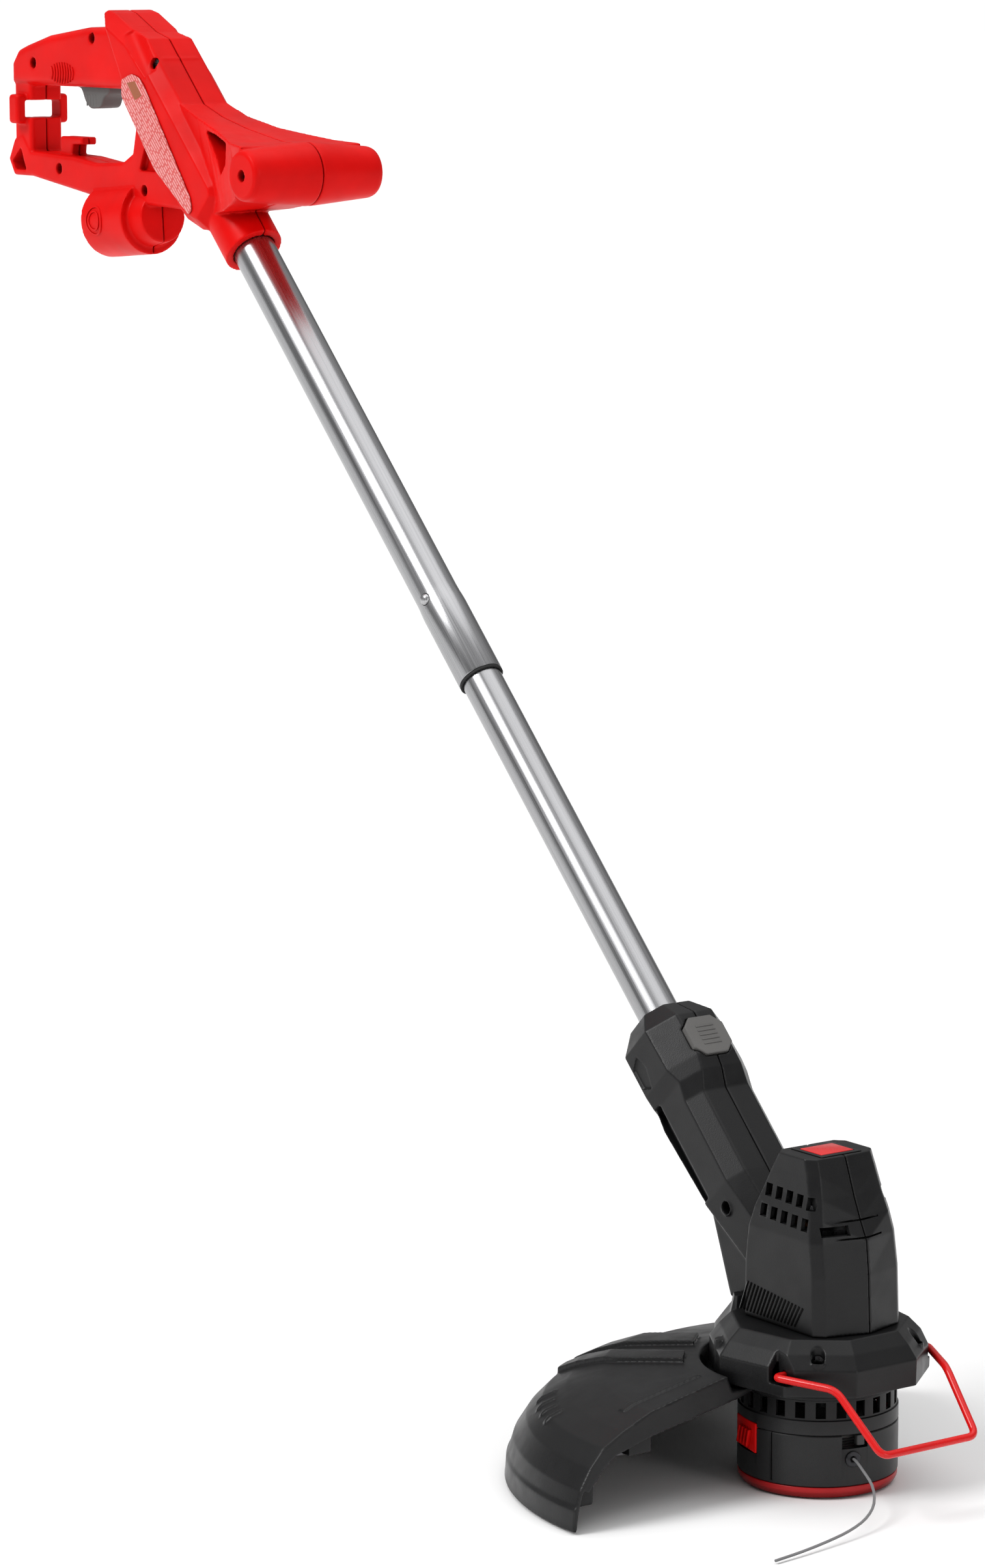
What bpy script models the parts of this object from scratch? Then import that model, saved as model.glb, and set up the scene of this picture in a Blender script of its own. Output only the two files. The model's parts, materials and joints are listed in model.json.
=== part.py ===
"""Corded string trimmer with a D handle, a two-piece shaft and a rotating head.

Frame: the origin is on the line head's spindle, at the underside of the head. +Z is up along the
spindle, +X is forward, away from the user, and +Y is the user's left. The shaft leans back at 45
degrees in the XZ plane. Sizes in this file are in millimetres and helpers turn them into metres.
"""
import math

import bmesh
import bpy
from mathutils import Matrix, Vector

MM = 0.001
GAP = 0.3                       # clearance between touching pieces

# Driving dimensions
TUBE_R = 12.7                   # lower shaft tube, 1 inch outside diameter
TUBE_WALL = 1.2
SOCKET_R = 14.5                 # widened lower end of the upper tube
SHAFT_BASE_Z = 96.0             # the shaft's axis crosses the spindle at this height
SHAFT_LEAN = math.radians(45)
HEAD_R = 46.5                   # spool cap and spool housing
GUARD_R = 180.0
BAR_CENTRE = (-522.0, 730.3)    # auxiliary handle's axis in XZ
BAR_HALF = 49.6

# Distances along the shaft's axis from its crossing with the spindle
T_LOWER_START = 92.0
T_COLLAR_TOP = 210.0
T_SOCKET_START = 470.0
T_SOCKET_END = 524.0
T_SNAP = 531.0
T_LOWER_END = 560.0
T_BODY_START = 824.0
T_UPPER_END = 905.0

RED = (0.72, 0.012, 0.012, 1.0)
DARK_RED = (0.36, 0.012, 0.014, 1.0)
BLACK = (0.022, 0.022, 0.023, 1.0)
GREY = (0.20, 0.20, 0.20, 1.0)
LIGHT_GREY = (0.45, 0.45, 0.45, 1.0)
STEEL = (0.60, 0.60, 0.61, 1.0)
COPPER = (0.60, 0.28, 0.12, 1.0)
BRASS = (0.62, 0.45, 0.16, 1.0)

for old in list(bpy.data.objects):
    bpy.data.objects.remove(old)

PARTS = bpy.data.collections.new("string_trimmer")
CUTTERS = bpy.data.collections.new("cutters")
bpy.context.scene.collection.children.link(PARTS)
bpy.context.scene.collection.children.link(CUTTERS)


# ---------------------------------------------------------------- helpers

def make_material(name, colour, roughness, metallic=0.0):
    material = bpy.data.materials.new(name)
    material.use_nodes = True
    shader = material.node_tree.nodes["Principled BSDF"]
    shader.inputs["Base Color"].default_value = colour
    shader.inputs["Roughness"].default_value = roughness
    shader.inputs["Metallic"].default_value = metallic
    return material


RED_PLASTIC = make_material("red_plastic", RED, 0.35)
DARK_RED_PLASTIC = make_material("dark_red_plastic", DARK_RED, 0.4)
BLACK_PLASTIC = make_material("black_plastic", BLACK, 0.5)
GREY_PLASTIC = make_material("grey_plastic", GREY, 0.5)
LEVER_PLASTIC = make_material("lever_plastic", LIGHT_GREY, 0.5)
TUBE_METAL = make_material("tube_metal", STEEL, 0.28, 1.0)
SCREW_STEEL = make_material("screw_steel", STEEL, 0.4, 1.0)
SPRING_STEEL = make_material("spring_steel", STEEL, 0.35, 1.0)
WINDING = make_material("winding", COPPER, 0.4, 1.0)
CONTACT_BRASS = make_material("contact_brass", BRASS, 0.3, 1.0)
RED_WIRE = make_material("red_wire", RED, 0.3)
LINE_NYLON = make_material("line_nylon", GREY, 0.4)
LABEL = make_material("label", RED, 0.45)
RUBBER = make_material("rubber", BLACK, 0.8)


def empty(name, location=(0, 0, 0), lean=0.0):
    """A guide that pieces are parented to. lean turns its Z back from vertical, about Y."""
    guide = bpy.data.objects.new(name, None)
    guide.location = Vector(location) * MM
    guide.rotation_euler = (0, -lean, 0)
    CUTTERS.objects.link(guide)
    return guide


SHAFT = empty("shaft_axis", (0, 0, SHAFT_BASE_Z), SHAFT_LEAN)
bpy.context.view_layer.update()


def shaft_point(t, n, y=0.0):
    """World place of a point t along the shaft and n to its upper front side."""
    along = Vector((-math.sin(SHAFT_LEAN), 0, math.cos(SHAFT_LEAN)))
    across = Vector((math.cos(SHAFT_LEAN), 0, math.sin(SHAFT_LEAN)))
    return Vector((0, y, SHAFT_BASE_Z)) + along * t + across * n


def add(name, mesh, material=None, parent=None, origin=(0, 0, 0)):
    """Links a mesh as an object. The mesh is in its parent's frame, and origin becomes its pivot."""
    pivot = Vector(origin) * MM
    mesh.transform(Matrix.Translation(-pivot))
    piece = bpy.data.objects.new(name, mesh)
    piece.parent = parent
    piece.location = pivot
    if material:
        mesh.materials.clear()
        mesh.materials.append(material)
        PARTS.objects.link(piece)
    else:
        CUTTERS.objects.link(piece)
        piece.hide_render = True
        piece.display_type = "WIRE"
    return piece


def finish_bmesh(name, bm):
    bmesh.ops.recalc_face_normals(bm, faces=bm.faces)
    mesh = bpy.data.meshes.new(name)
    bm.to_mesh(mesh)
    bm.free()
    return mesh


def cylinder_mesh(name, start, end, radius, sides=24, end_radius=None):
    """A rod or cone from start to end."""
    start = Vector(start) * MM
    end = Vector(end) * MM
    bm = bmesh.new()
    far = radius if end_radius is None else end_radius
    turn = Vector((0, 0, 1)).rotation_difference(end - start).to_matrix().to_4x4()
    place = Matrix.Translation((start + end) / 2) @ turn
    bmesh.ops.create_cone(bm, cap_ends=True, segments=sides, radius1=radius * MM, radius2=far * MM,
                          depth=(end - start).length, matrix=place)
    return finish_bmesh(name, bm)


def box_mesh(name, low, high, bevel=0.0, turn=None):
    """A box between two corners, with its edges chamfered by bevel."""
    low = Vector(low) * MM
    high = Vector(high) * MM
    size = Matrix.Diagonal((*(high - low), 1.0))
    bm = bmesh.new()
    bmesh.ops.create_cube(bm, size=1.0, matrix=Matrix.Translation((low + high) / 2) @ size)
    if bevel:
        bmesh.ops.bevel(bm, geom=bm.edges[:], offset=bevel * MM, segments=1, affect="EDGES")
    if turn:
        bmesh.ops.transform(bm, matrix=turn, verts=bm.verts)
    return finish_bmesh(name, bm)


def loft_mesh(name, sections):
    """A closed skin through sections, which are lists of the same number of points."""
    bm = bmesh.new()
    rings = [[bm.verts.new(Vector(p) * MM) for p in section] for section in sections]
    count = len(rings[0])
    for below, above in zip(rings, rings[1:]):
        for i in range(count):
            j = (i + 1) % count
            bm.faces.new((below[i], below[j], above[j], above[i]))
    bm.faces.new(rings[0])
    bm.faces.new(rings[-1])
    return finish_bmesh(name, bm)


def plate_mesh(name, outline, half_width, bevel=0.0, centre_y=0.0):
    """An outline in XZ with a thickness along Y. Its rims are chamfered by bevel."""
    curve = bpy.data.curves.new(name, "CURVE")
    curve.dimensions = "2D"
    curve.fill_mode = "BOTH"
    curve.extrude = (half_width - bevel) * MM
    curve.bevel_depth = bevel * MM
    curve.bevel_resolution = 0
    curve.offset = -bevel * MM
    spline = curve.splines.new("POLY")
    spline.points.add(len(outline) - 1)
    for point, (x, z) in zip(spline.points, outline):
        point.co = (x * MM, z * MM, 0, 1)
    spline.use_cyclic_u = True
    draft = bpy.data.objects.new(name, curve)
    CUTTERS.objects.link(draft)
    bpy.context.view_layer.update()
    mesh = bpy.data.meshes.new_from_object(draft.evaluated_get(bpy.context.evaluated_depsgraph_get()))
    bpy.data.objects.remove(draft)
    bm = bmesh.new()
    bm.from_mesh(mesh)
    bmesh.ops.remove_doubles(bm, verts=bm.verts, dist=0.01 * MM)
    upright = Matrix.Rotation(math.pi / 2, 4, "X")
    bmesh.ops.transform(bm, matrix=Matrix.Translation((0, centre_y * MM, 0)) @ upright, verts=bm.verts)
    return finish_bmesh(name, bm)


def turned(name, profile, material=None, sides=48, parent=None, origin=(0, 0, 0), closed=False):
    """A profile of (radius, height) points turned about Z, from top to bottom on its outer side."""
    mesh = bpy.data.meshes.new(name)
    edges = [(i, i + 1) for i in range(len(profile) - 1)]
    if closed:
        edges.append((len(profile) - 1, 0))
    mesh.from_pydata([(r * MM, 0, z * MM) for r, z in profile], edges, [])
    piece = add(name, mesh, material, parent)
    piece.location = Vector(origin) * MM
    screw = piece.modifiers.new("turn", "SCREW")
    screw.steps = sides
    screw.render_steps = sides
    screw.use_merge_vertices = True
    screw.merge_threshold = 0.00001
    return piece


def bake(piece):
    """Applies the modifiers of a piece and keeps its place."""
    bpy.context.view_layer.update()
    shape = piece.evaluated_get(bpy.context.evaluated_depsgraph_get())
    mesh = bpy.data.meshes.new_from_object(shape)
    piece.modifiers.clear()
    piece.data = mesh
    return piece


def boolean(piece, tool, operation):
    step = piece.modifiers.new(tool.name, "BOOLEAN")
    step.operation = operation
    step.solver = "EXACT"
    step.object = tool
    return piece


def cut(piece, *meshes, parent=None):
    """Cuts each mesh out of the piece."""
    for mesh in meshes:
        boolean(piece, add("cut_" + mesh.name, mesh, parent=parent), "DIFFERENCE")
    return piece


def join(piece, *meshes, parent=None):
    """Joins each mesh to the piece."""
    for mesh in meshes:
        boolean(piece, add("join_" + mesh.name, mesh, parent=parent), "UNION")
    return piece


def half(whole, name, side, material):
    """The part of a whole on one side of the seam, where side is -1 for the right and +1 for the left."""
    piece = add(name, whole.data.copy(), material)
    reach = 1200.0
    near, far = sorted((side * GAP / 2, -side * reach))
    waste = box_mesh(name + "_waste", (-reach, near, -reach), (reach, far, reach))
    return bake(cut(piece, waste))


def tube_mesh(name, points, radius, sides_resolution=2):
    """A round wire through points, with flat ends."""
    curve = bpy.data.curves.new(name, "CURVE")
    curve.dimensions = "3D"
    curve.bevel_depth = radius * MM
    curve.bevel_resolution = sides_resolution
    curve.use_fill_caps = True
    spline = curve.splines.new("POLY")
    spline.points.add(len(points) - 1)
    for point, place in zip(spline.points, points):
        point.co = (*(Vector(place) * MM), 1)
    draft = bpy.data.objects.new(name, curve)
    CUTTERS.objects.link(draft)
    bpy.context.view_layer.update()
    mesh = bpy.data.meshes.new_from_object(draft.evaluated_get(bpy.context.evaluated_depsgraph_get()))
    bpy.data.objects.remove(draft)
    bm = bmesh.new()
    bm.from_mesh(mesh)
    bmesh.ops.remove_doubles(bm, verts=bm.verts, dist=0.001 * MM)
    return finish_bmesh(name, bm)


def smooth_path(points, per_span):
    """A Catmull-Rom curve through the points."""
    points = [Vector(p) for p in points]
    padded = [2 * points[0] - points[1], *points, 2 * points[-1] - points[-2]]
    path = []
    for a, b, c, d in zip(padded, padded[1:], padded[2:], padded[3:]):
        for k in range(per_span):
            f = k / per_span
            path.append(0.5 * (2 * b + (c - a) * f + (2 * a - 5 * b + 4 * c - d) * f ** 2
                               + (3 * b - a - 3 * c + d) * f ** 3))
    return [*path, points[-1]]


def coil_mesh(name, centre, axis, radius, wire, length, turns, per_turn=7):
    """A coil spring along an axis, starting at centre."""
    turn = Vector((0, 0, 1)).rotation_difference(Vector(axis))
    steps = turns * per_turn
    points = []
    for k in range(steps + 1):
        angle = 2 * math.pi * k / per_turn
        local = Vector((radius * math.cos(angle), radius * math.sin(angle), length * k / steps))
        points.append(Vector(centre) + turn @ local)
    return tube_mesh(name, points, wire, 0)


def octagon(t, half_width, low, high, chamfer):
    """A section across the shaft: (n, y, t) points in the shaft's own frame."""
    w, c = half_width, chamfer
    return [(high, w - c, t), (high - c, w, t), (low + c, w, t), (low, w - c, t),
            (low, c - w, t), (low + c, -w, t), (high - c, -w, t), (high, c - w, t)]


def screw_piece(name, head_at, direction, length, head_r=3.4, shank_r=1.8):
    """A pan-head screw. head_at is the top of its head, and it points along direction."""
    way = Vector(direction).normalized()
    top = Vector(head_at)
    piece = add(name, cylinder_mesh(name, top, top + way * 2.4, head_r, 10), SCREW_STEEL)
    join(piece, cylinder_mesh(name + "_shank", top + way * 2.0, top + way * length, shank_r, 8))
    return bake(piece)


# ---------------------------------------------------------------- shaft

SNAP_ANGLE = math.radians(-75)      # the snap button's side of the shaft, from its upper front side
SNAP_WAY = Vector((math.cos(SNAP_ANGLE), math.sin(SNAP_ANGLE), 0))
SNAP_R = 3.6
TUBE_BORE = TUBE_R - TUBE_WALL


def snap_hole_mesh(name):
    level = Vector((0, 0, T_SNAP))
    return cylinder_mesh(name, SNAP_WAY * 6 + level, SNAP_WAY * 20 + level, SNAP_R + GAP, 16)


def make_shaft():
    lower = [(TUBE_R, T_LOWER_END), (TUBE_R, T_LOWER_START),
             (TUBE_BORE, T_LOWER_START), (TUBE_BORE, T_LOWER_END)]
    tube = turned("lower_tube", lower, TUBE_METAL, 24, SHAFT, closed=True)
    cut(tube, snap_hole_mesh("lower_snap_hole"), parent=SHAFT)
    sleeve = TUBE_R + GAP / 2
    upper = [(TUBE_R + TUBE_WALL, T_UPPER_END), (TUBE_R + TUBE_WALL, T_SOCKET_END + 8),
             (SOCKET_R, T_SOCKET_END), (SOCKET_R, T_SOCKET_START),
             (sleeve, T_SOCKET_START), (sleeve, T_UPPER_END)]
    tube = turned("upper_tube", upper, TUBE_METAL, 24, SHAFT, closed=True)
    cut(tube, snap_hole_mesh("upper_snap_hole"), parent=SHAFT)
    ring_top = T_SOCKET_START - GAP
    ring_low = ring_top - 1.6
    ring = [(SOCKET_R - 0.2, ring_top), (SOCKET_R - 0.2, ring_low), (sleeve, ring_low), (sleeve, ring_top)]
    turned("tube_joint_ring", ring, RUBBER, 24, SHAFT, closed=True)


def make_snap_button():
    """The button and the leaf that springs it are one pressed piece inside the lower tube."""
    level = Vector((0, 0, T_SNAP))
    tip = SNAP_WAY * (SOCKET_R + 1.6) + level
    root = SNAP_WAY * 7.5 + level
    button = cylinder_mesh("snap_button", root, tip, SNAP_R, 16)
    button.transform(SHAFT.matrix_world)
    piece = add("snap_button", button, SPRING_STEEL)
    side = Vector((-SNAP_WAY.y, SNAP_WAY.x, 0)) * 3
    inner = SNAP_WAY * 7.0
    outer = SNAP_WAY * 8.0
    sections = []
    for t in (T_SNAP - 22, T_SNAP + 8):
        level = Vector((0, 0, t))
        sections.append([inner - side + level, inner + side + level, outer + side + level, outer - side + level])
    leaf = loft_mesh("snap_leaf", sections)
    leaf.transform(SHAFT.matrix_world)
    bake(join(piece, leaf))


# ---------------------------------------------------------------- handle

BODY_HALF = 25.0
GRIP_HALF = 15.5
COLUMN_HALF = 12.5
WALL = 2.8
GRIP_LOW = 779.0
BODY_OUTLINE = [(-736, 829), (-731, 831), (-722, 829), (-697, 817), (-682, 813), (-641, 772), (-592, 723),
                (-589, 712), (-609, 691), (-617, 691), (-635, 697), (-708, 771), (-711, 785)]
BODY_FACE = [(-722, 819.5), (-721.3, 820.2), (-720, 819.2), (-700, 809.4), (-686.3, 805.8), (-646.7, 766.3),
             (-599.1, 718.8), (-597.9, 714.2), (-612.4, 699), (-615.7, 699), (-630.4, 703.7), (-700.5, 774.8),
             (-703.2, 787.5)]            # the flat side face, inside the chamfer
BODY_CHAMFER = 8.0
BODY_CAVITY = [(-722, 822), (-700, 812), (-684, 806), (-640, 762), (-606, 728), (-621, 710), (-640, 712),
               (-700, 773), (-703, 786)]
GRIP_OUTLINE = [(-861, GRIP_LOW), (-861, 794), (-853, 803), (-843, 806), (-814, 813), (-765, 819),
                (-705, 821), (-705, GRIP_LOW)]
GRIP_CAVITY = [(-846, GRIP_LOW + WALL), (-846, 800), (-814, 809), (-765, 815), (-712, 815), (-699, 806),
               (-698, GRIP_LOW + WALL)]
COLUMN_OUTLINE = [(-861, 738), (-861, 786), (-839, 786), (-839, 728), (-850, 722)]
LOWER_OUTLINE = [(-862, 742), (-870, 728), (-863, 717), (-840, 717), (-767, 707.5), (-708, 704), (-640, 702),
                 (-652, 722), (-698, 770), (-716, 772), (-706, 753), (-710, 737), (-722, 731), (-757, 729),
                 (-785, 732), (-839, 734), (-850, 746)]
LOWER_CAVITY = [(-822, 718.5), (-766, 711), (-712, 707.5), (-668, 706), (-690, 722), (-726, 726.5), (-785, 728)]
HANG_HOLE = [(-864, 727), (-860, 721), (-846, 721), (-853, 736)]
LOOP_CENTRE = (-850, 762.5)
LOOP_SIZE = (12.5, 41.0, 20.0)
LOOP_HOLE = (28.0, 12.0)
HOOK_OUTLINE = [(-812, 727), (-812, 745), (-784, 745), (-784, 740), (-796, 739.5), (-798, 727)]
CUP_REAR = (-757.0, 0, 690.0)
CUP_FRONT = (-706.0, 0, 694.5)
CUP_NOSE = (-692.0, 0, 695.7)
CUP_R = 24.5
CUP_NOSE_R = 19.5
CUP_WALL = 2.6
BAR_R = 20.5
BAR_END_R = 16.6
SCOOP = [(-668.0, 29.0, 793.5), (-698.0, 24.0, 821.5)]      # hollow above the body's screw, axis ends
SCOOP_R = 9.0
LABEL_OUTLINE = [(-701, 786), (-689, 790), (-680, 788), (-674, 783), (-619, 712), (-617, 704), (-621, 701),
                 (-662, 729), (-701, 775)]
HANDLE_SCREWS = [(-755, 812), (-831, 794), (-672, 797), (-803, 723.5), (-695, 713), BAR_CENTRE]
BAR_SCREW = 5                       # the one that goes through the auxiliary handle
BOSS_REACH = 14.0                   # the other screws' bosses stop inside the shells
PIVOT = (-790.0, 785.0)             # trigger pin, in XZ
TRIGGER_HALF = 8.0
PLUNGER_LOW = 788.6                 # just above the trigger


def bar_profile(shrink):
    """Half of the auxiliary handle as a turned profile with a domed end."""
    end = BAR_HALF - shrink
    return [(0, end), (BAR_END_R - shrink - 4, end), (BAR_END_R - shrink - 1, end - 1.2),
            (BAR_END_R - shrink, end - 4), (BAR_R - shrink, 0)]


def bar_mesh(name, shrink, sides=24):
    upper = bar_profile(shrink)
    profile = upper + [(r, -z) for r, z in reversed(upper[:-1])]
    draft = turned(name, profile, None, sides)
    bake(draft)
    mesh = draft.data
    bpy.data.objects.remove(draft)
    lay = Matrix.Rotation(math.pi / 2, 4, "X")
    place = Matrix.Translation(Vector((BAR_CENTRE[0], 0, BAR_CENTRE[1])) * MM)
    mesh.transform(place @ lay)
    return mesh


def arm_mesh(name, shrink):
    """The wing between the body and the auxiliary handle, which widens towards the handle."""
    s = shrink
    rows = [(-648, 774, 18, -608, 702, 17), (-590, 757, 25, -578, 705, 27), (-548, 750, 41, -550, 711, 39),
            (-527, 748.5, 46.5, -536, 715.5, 45)]
    sections = [[(x_top, s - top, z_top - s), (x_top, top - s, z_top - s), (x_low, low - s, z_low + s),
                 (x_low, s - low, z_low + s)] for x_top, z_top, top, x_low, z_low, low in rows]
    return loft_mesh(name, sections)


def collar_mesh(name, radius, start, end, sides=24):
    low = shaft_point(start, 0)
    high = shaft_point(end, 0)
    return cylinder_mesh(name, low, high, radius, sides)


def body_mesh(name):
    """The main body, whose side faces are smaller than its outline by a chamfer."""
    shoulder = BODY_HALF - BODY_CHAMFER
    rows = [(BODY_FACE, -BODY_HALF), (BODY_OUTLINE, -shoulder), (BODY_OUTLINE, shoulder), (BODY_FACE, BODY_HALF)]
    return loft_mesh(name, [[(x, y, z) for x, z in outline] for outline, y in rows])


def scoop_mesh(name, side, radius):
    ends = [(x, side * y, z) for x, y, z in SCOOP]
    return cylinder_mesh(name, ends[0], ends[1], radius, 20)


def body_cavity_mesh():
    """The hollow of the main body, kept clear of the two scoops."""
    draft = add("body_cavity", plate_mesh("body_cavity", BODY_CAVITY, BODY_HALF - WALL - 0.4, 5), None)
    for side in (-1, 1):
        cut(draft, scoop_mesh("scoop_wall", side, SCOOP_R + WALL + 0.4))
    bake(draft)
    mesh = draft.data
    bpy.data.objects.remove(draft)
    return mesh


def make_handle():
    outer = add("handle_whole", body_mesh("handle_body"), None)
    loop_low = (LOOP_CENTRE[0] - LOOP_SIZE[0] / 2, -LOOP_SIZE[1] / 2, LOOP_CENTRE[1] - LOOP_SIZE[2] / 2)
    loop_high = (LOOP_CENTRE[0] + LOOP_SIZE[0] / 2, LOOP_SIZE[1] / 2, LOOP_CENTRE[1] + LOOP_SIZE[2] / 2)
    join(outer,
         collar_mesh("handle_collar", 19.5, T_BODY_START, T_BODY_START + 52),
         plate_mesh("handle_grip", GRIP_OUTLINE, GRIP_HALF, 4),
         plate_mesh("handle_column", COLUMN_OUTLINE, COLUMN_HALF, 2),
         plate_mesh("handle_lower", LOWER_OUTLINE, COLUMN_HALF + 0.4, 2),
         plate_mesh("handle_hook", HOOK_OUTLINE, 6.0, 1),
         box_mesh("cord_loop", loop_low, loop_high, 2.0),
         cylinder_mesh("inlet_cup", CUP_REAR, CUP_FRONT, CUP_R, 28),
         cylinder_mesh("inlet_nose", CUP_FRONT, CUP_NOSE, CUP_NOSE_R, 24, 17),
         arm_mesh("bar_arm", 0),
         bar_mesh("bar", 0))
    pocket = [(-606, 756), (-560, 749), (-564, 736), (-580, 728)]
    for side in (-1, 1):
        cut(outer, plate_mesh("arm_pocket", pocket, 20, 0, side * 29))
        cut(outer, plate_mesh("strut_pocket", [(-701, 726), (-693, 744), (-679, 726)], 6, 0, side * 14))
        cut(outer, scoop_mesh("scoop", side, SCOOP_R))
    hole_low = (-900, -LOOP_HOLE[0] / 2, LOOP_CENTRE[1] - LOOP_HOLE[1] / 2)
    hole_high = (-800, LOOP_HOLE[0] / 2, LOOP_CENTRE[1] + LOOP_HOLE[1] / 2)
    cup_axis = (Vector(CUP_FRONT) - Vector(CUP_REAR)).normalized()
    cut(outer,
        box_mesh("loop_hole", hole_low, hole_high),
        plate_mesh("hang_hole", HANG_HOLE, 30),
        body_cavity_mesh(),
        plate_mesh("grip_cavity", GRIP_CAVITY, GRIP_HALF - WALL, 2),
        plate_mesh("lower_cavity", LOWER_CAVITY, COLUMN_HALF - WALL, 0),
        box_mesh("trigger_slot", (-793.5, -TRIGGER_HALF - GAP, 770), (-742, TRIGGER_HALF + GAP, 786)),
        collar_mesh("tube_bore", TUBE_R + TUBE_WALL + GAP, T_BODY_START - 5, T_UPPER_END + 1, 24),
        cylinder_mesh("cup_inside", Vector(CUP_REAR) - cup_axis * 5, Vector(CUP_FRONT) - cup_axis * 8,
                      CUP_R - CUP_WALL, 28),
        cylinder_mesh("cup_seat", Vector(CUP_FRONT) - cup_axis * 9, Vector(CUP_FRONT) + cup_axis * 4,
                      15 + GAP, 24),
        bar_mesh("bar_cavity", 3.2, 16))
    for index, (x, z) in enumerate(HANDLE_SCREWS):
        face = screw_face(index)
        reach = -face - 2 if index == BAR_SCREW else min(-face - 2, BOSS_REACH)
        join(outer, cylinder_mesh("screw_boss", (x, -reach, z), (x, reach, z), 4.6, 8))
        cut(outer, cylinder_mesh("screw_head_hole", (x, face - 12, z), (x, face + 6, z), 3.4 + GAP, 12),
            cylinder_mesh("screw_shank_hole", (x, face + 5, z), (x, screw_tip(index) + 1, z), 1.8 + GAP, 8))
    bake(outer)
    half(outer, "handle_right", -1, RED_PLASTIC)
    half(outer, "handle_left", 1, RED_PLASTIC)
    bpy.data.objects.remove(outer)


def screw_face(index):
    """Where the wall is on the right side at each screw, along Y."""
    return (-GRIP_HALF, -GRIP_HALF, -20.4, -COLUMN_HALF, -COLUMN_HALF, -BAR_HALF)[index]


def screw_tip(index):
    """How far past the seam each handle screw reaches, along Y."""
    return -30.0 if index == BAR_SCREW else 8.0


def make_handle_fittings():
    for index, (x, z) in enumerate(HANDLE_SCREWS):
        head = screw_face(index) + 3.4
        screw_piece("handle_screw_%d" % (index + 1), (x, head, z), (0, 1, 0), screw_tip(index) - head)
    label = plate_mesh("label_plate", LABEL_OUTLINE, 0.4, 0, -BODY_HALF - 0.4 - GAP)
    add("label_plate", label, LABEL)
    cup_axis = (Vector(CUP_FRONT) - Vector(CUP_REAR)).normalized()
    seat = Vector(CUP_FRONT) - cup_axis * 7.5
    block = cylinder_mesh("inlet_block", seat, seat + cup_axis * 11, 15, 24)
    add("inlet_block", block, BLACK_PLASTIC)
    for number, side in ((1, -1), (2, 1)):
        blade_low = seat - cup_axis * (18 + GAP) + Vector((0, side * 6.35 - 0.8, -3.2))
        blade_high = seat - cup_axis * GAP + Vector((0, side * 6.35 + 0.8, 3.2))
        add("inlet_blade_%d" % number, box_mesh("inlet_blade", blade_low, blade_high), CONTACT_BRASS)
    add("switch", box_mesh("switch", (-786, -7, 796.2), (-762, 7, 808), 0.8), BLACK_PLASTIC)
    cut(bpy.data.objects["switch"], cylinder_mesh("switch_bore", (-775, 0, 790), (-775, 0, 803), 2.1 + GAP, 12))
    pin = cylinder_mesh("trigger_pin", (PIVOT[0], -10.5, PIVOT[1]), (PIVOT[0], 10.5, PIVOT[1]), 1.5, 16)
    add("trigger_pin", pin, SCREW_STEEL)


def make_trigger():
    x, z = PIVOT
    outline = [(x - 3, z + 2.5), (x + 3, z + 3.5), (-746, 787), (-744, 783), (-746, 775), (-752, 773),
               (-756, 765.5), (-770, 764.5), (-776, 769), (-781, 778), (x - 3, 780)]
    trigger = add("trigger", plate_mesh("trigger", outline, TRIGGER_HALF, 0.8), GREY_PLASTIC, origin=(x, 0, z))
    for step in trigger.modifiers:
        trigger.modifiers.remove(step)
    hole = cylinder_mesh("pin_hole", (x, -20, z), (x, 20, z), 1.5 + GAP, 16)
    cut(trigger, hole)
    plunger = cylinder_mesh("switch_plunger", (-775, 0, PLUNGER_LOW), (-775, 0, 799), 2.1, 12)
    add("switch_plunger", plunger, BLACK_PLASTIC, origin=(-775, 0, PLUNGER_LOW))
    coil = coil_mesh("trigger_spring", (-747, 0, 788.1), (0, 0, 1), 2.2, 0.4, 25.6, 6)
    add("trigger_spring", coil, SPRING_STEEL)


def make_lead():
    """The internal lead from the switch down the tube to the head."""
    route = [Vector((-761.4, 3, 801)), Vector((-758.5, 3.2, 801)), Vector((-753, 7.0, 800)), Vector((-746, 8, 799)),
             Vector((-725, 4, 797)), Vector((-700, 0, 788)),
             shaft_point(940, 4), shaft_point(915, 1), shaft_point(880, 0)]
    path = smooth_path(route, 3) + [shaft_point(t, 0) for t in range(820, int(T_LOWER_START), -80)]
    add("power_lead", tube_mesh("power_lead", path, 3.0, 1), RUBBER)


# ---------------------------------------------------------------- rotating head

MOTOR_SECTIONS = [  # height, front at the seam, front at the corners, half width, rear
    (95.5, 46.0, 38.5, 32.0, -33.0),
    (129.0, 44.4, 37.0, 31.8, -33.0),
    (149.0, 42.3, 34.0, 31.4, -31.0),
    (161.0, 36.0, 31.5, 29.5, -28.0),
    (173.0, 30.5, 28.0, 27.0, -23.0),
    (186.0, 25.5, 24.0, 25.4, -17.0),
    (195.0, 22.0, 20.5, 24.6, -12.0),
]
NECK_SECTIONS = [  # distance along the shaft, half width, low, high, chamfer
    (T_COLLAR_TOP, 18.5, -18.5, 18.5, 9.0),
    (196.0, 28.0, -28.5, 29.0, 15.0),
    (167.0, 28.0, -28.5, 30.0, 15.0),
    (157.0, 25.5, -26.0, 28.0, 11.0),
    (146.0, 25.5, -25.5, 22.5, 9.0),
    (90.0, 25.5, -22.5, 22.0, 9.0),
    (48.0, 19.0, -18.5, 20.0, 7.0),
]
NECK_HALF = 25.5
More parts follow.
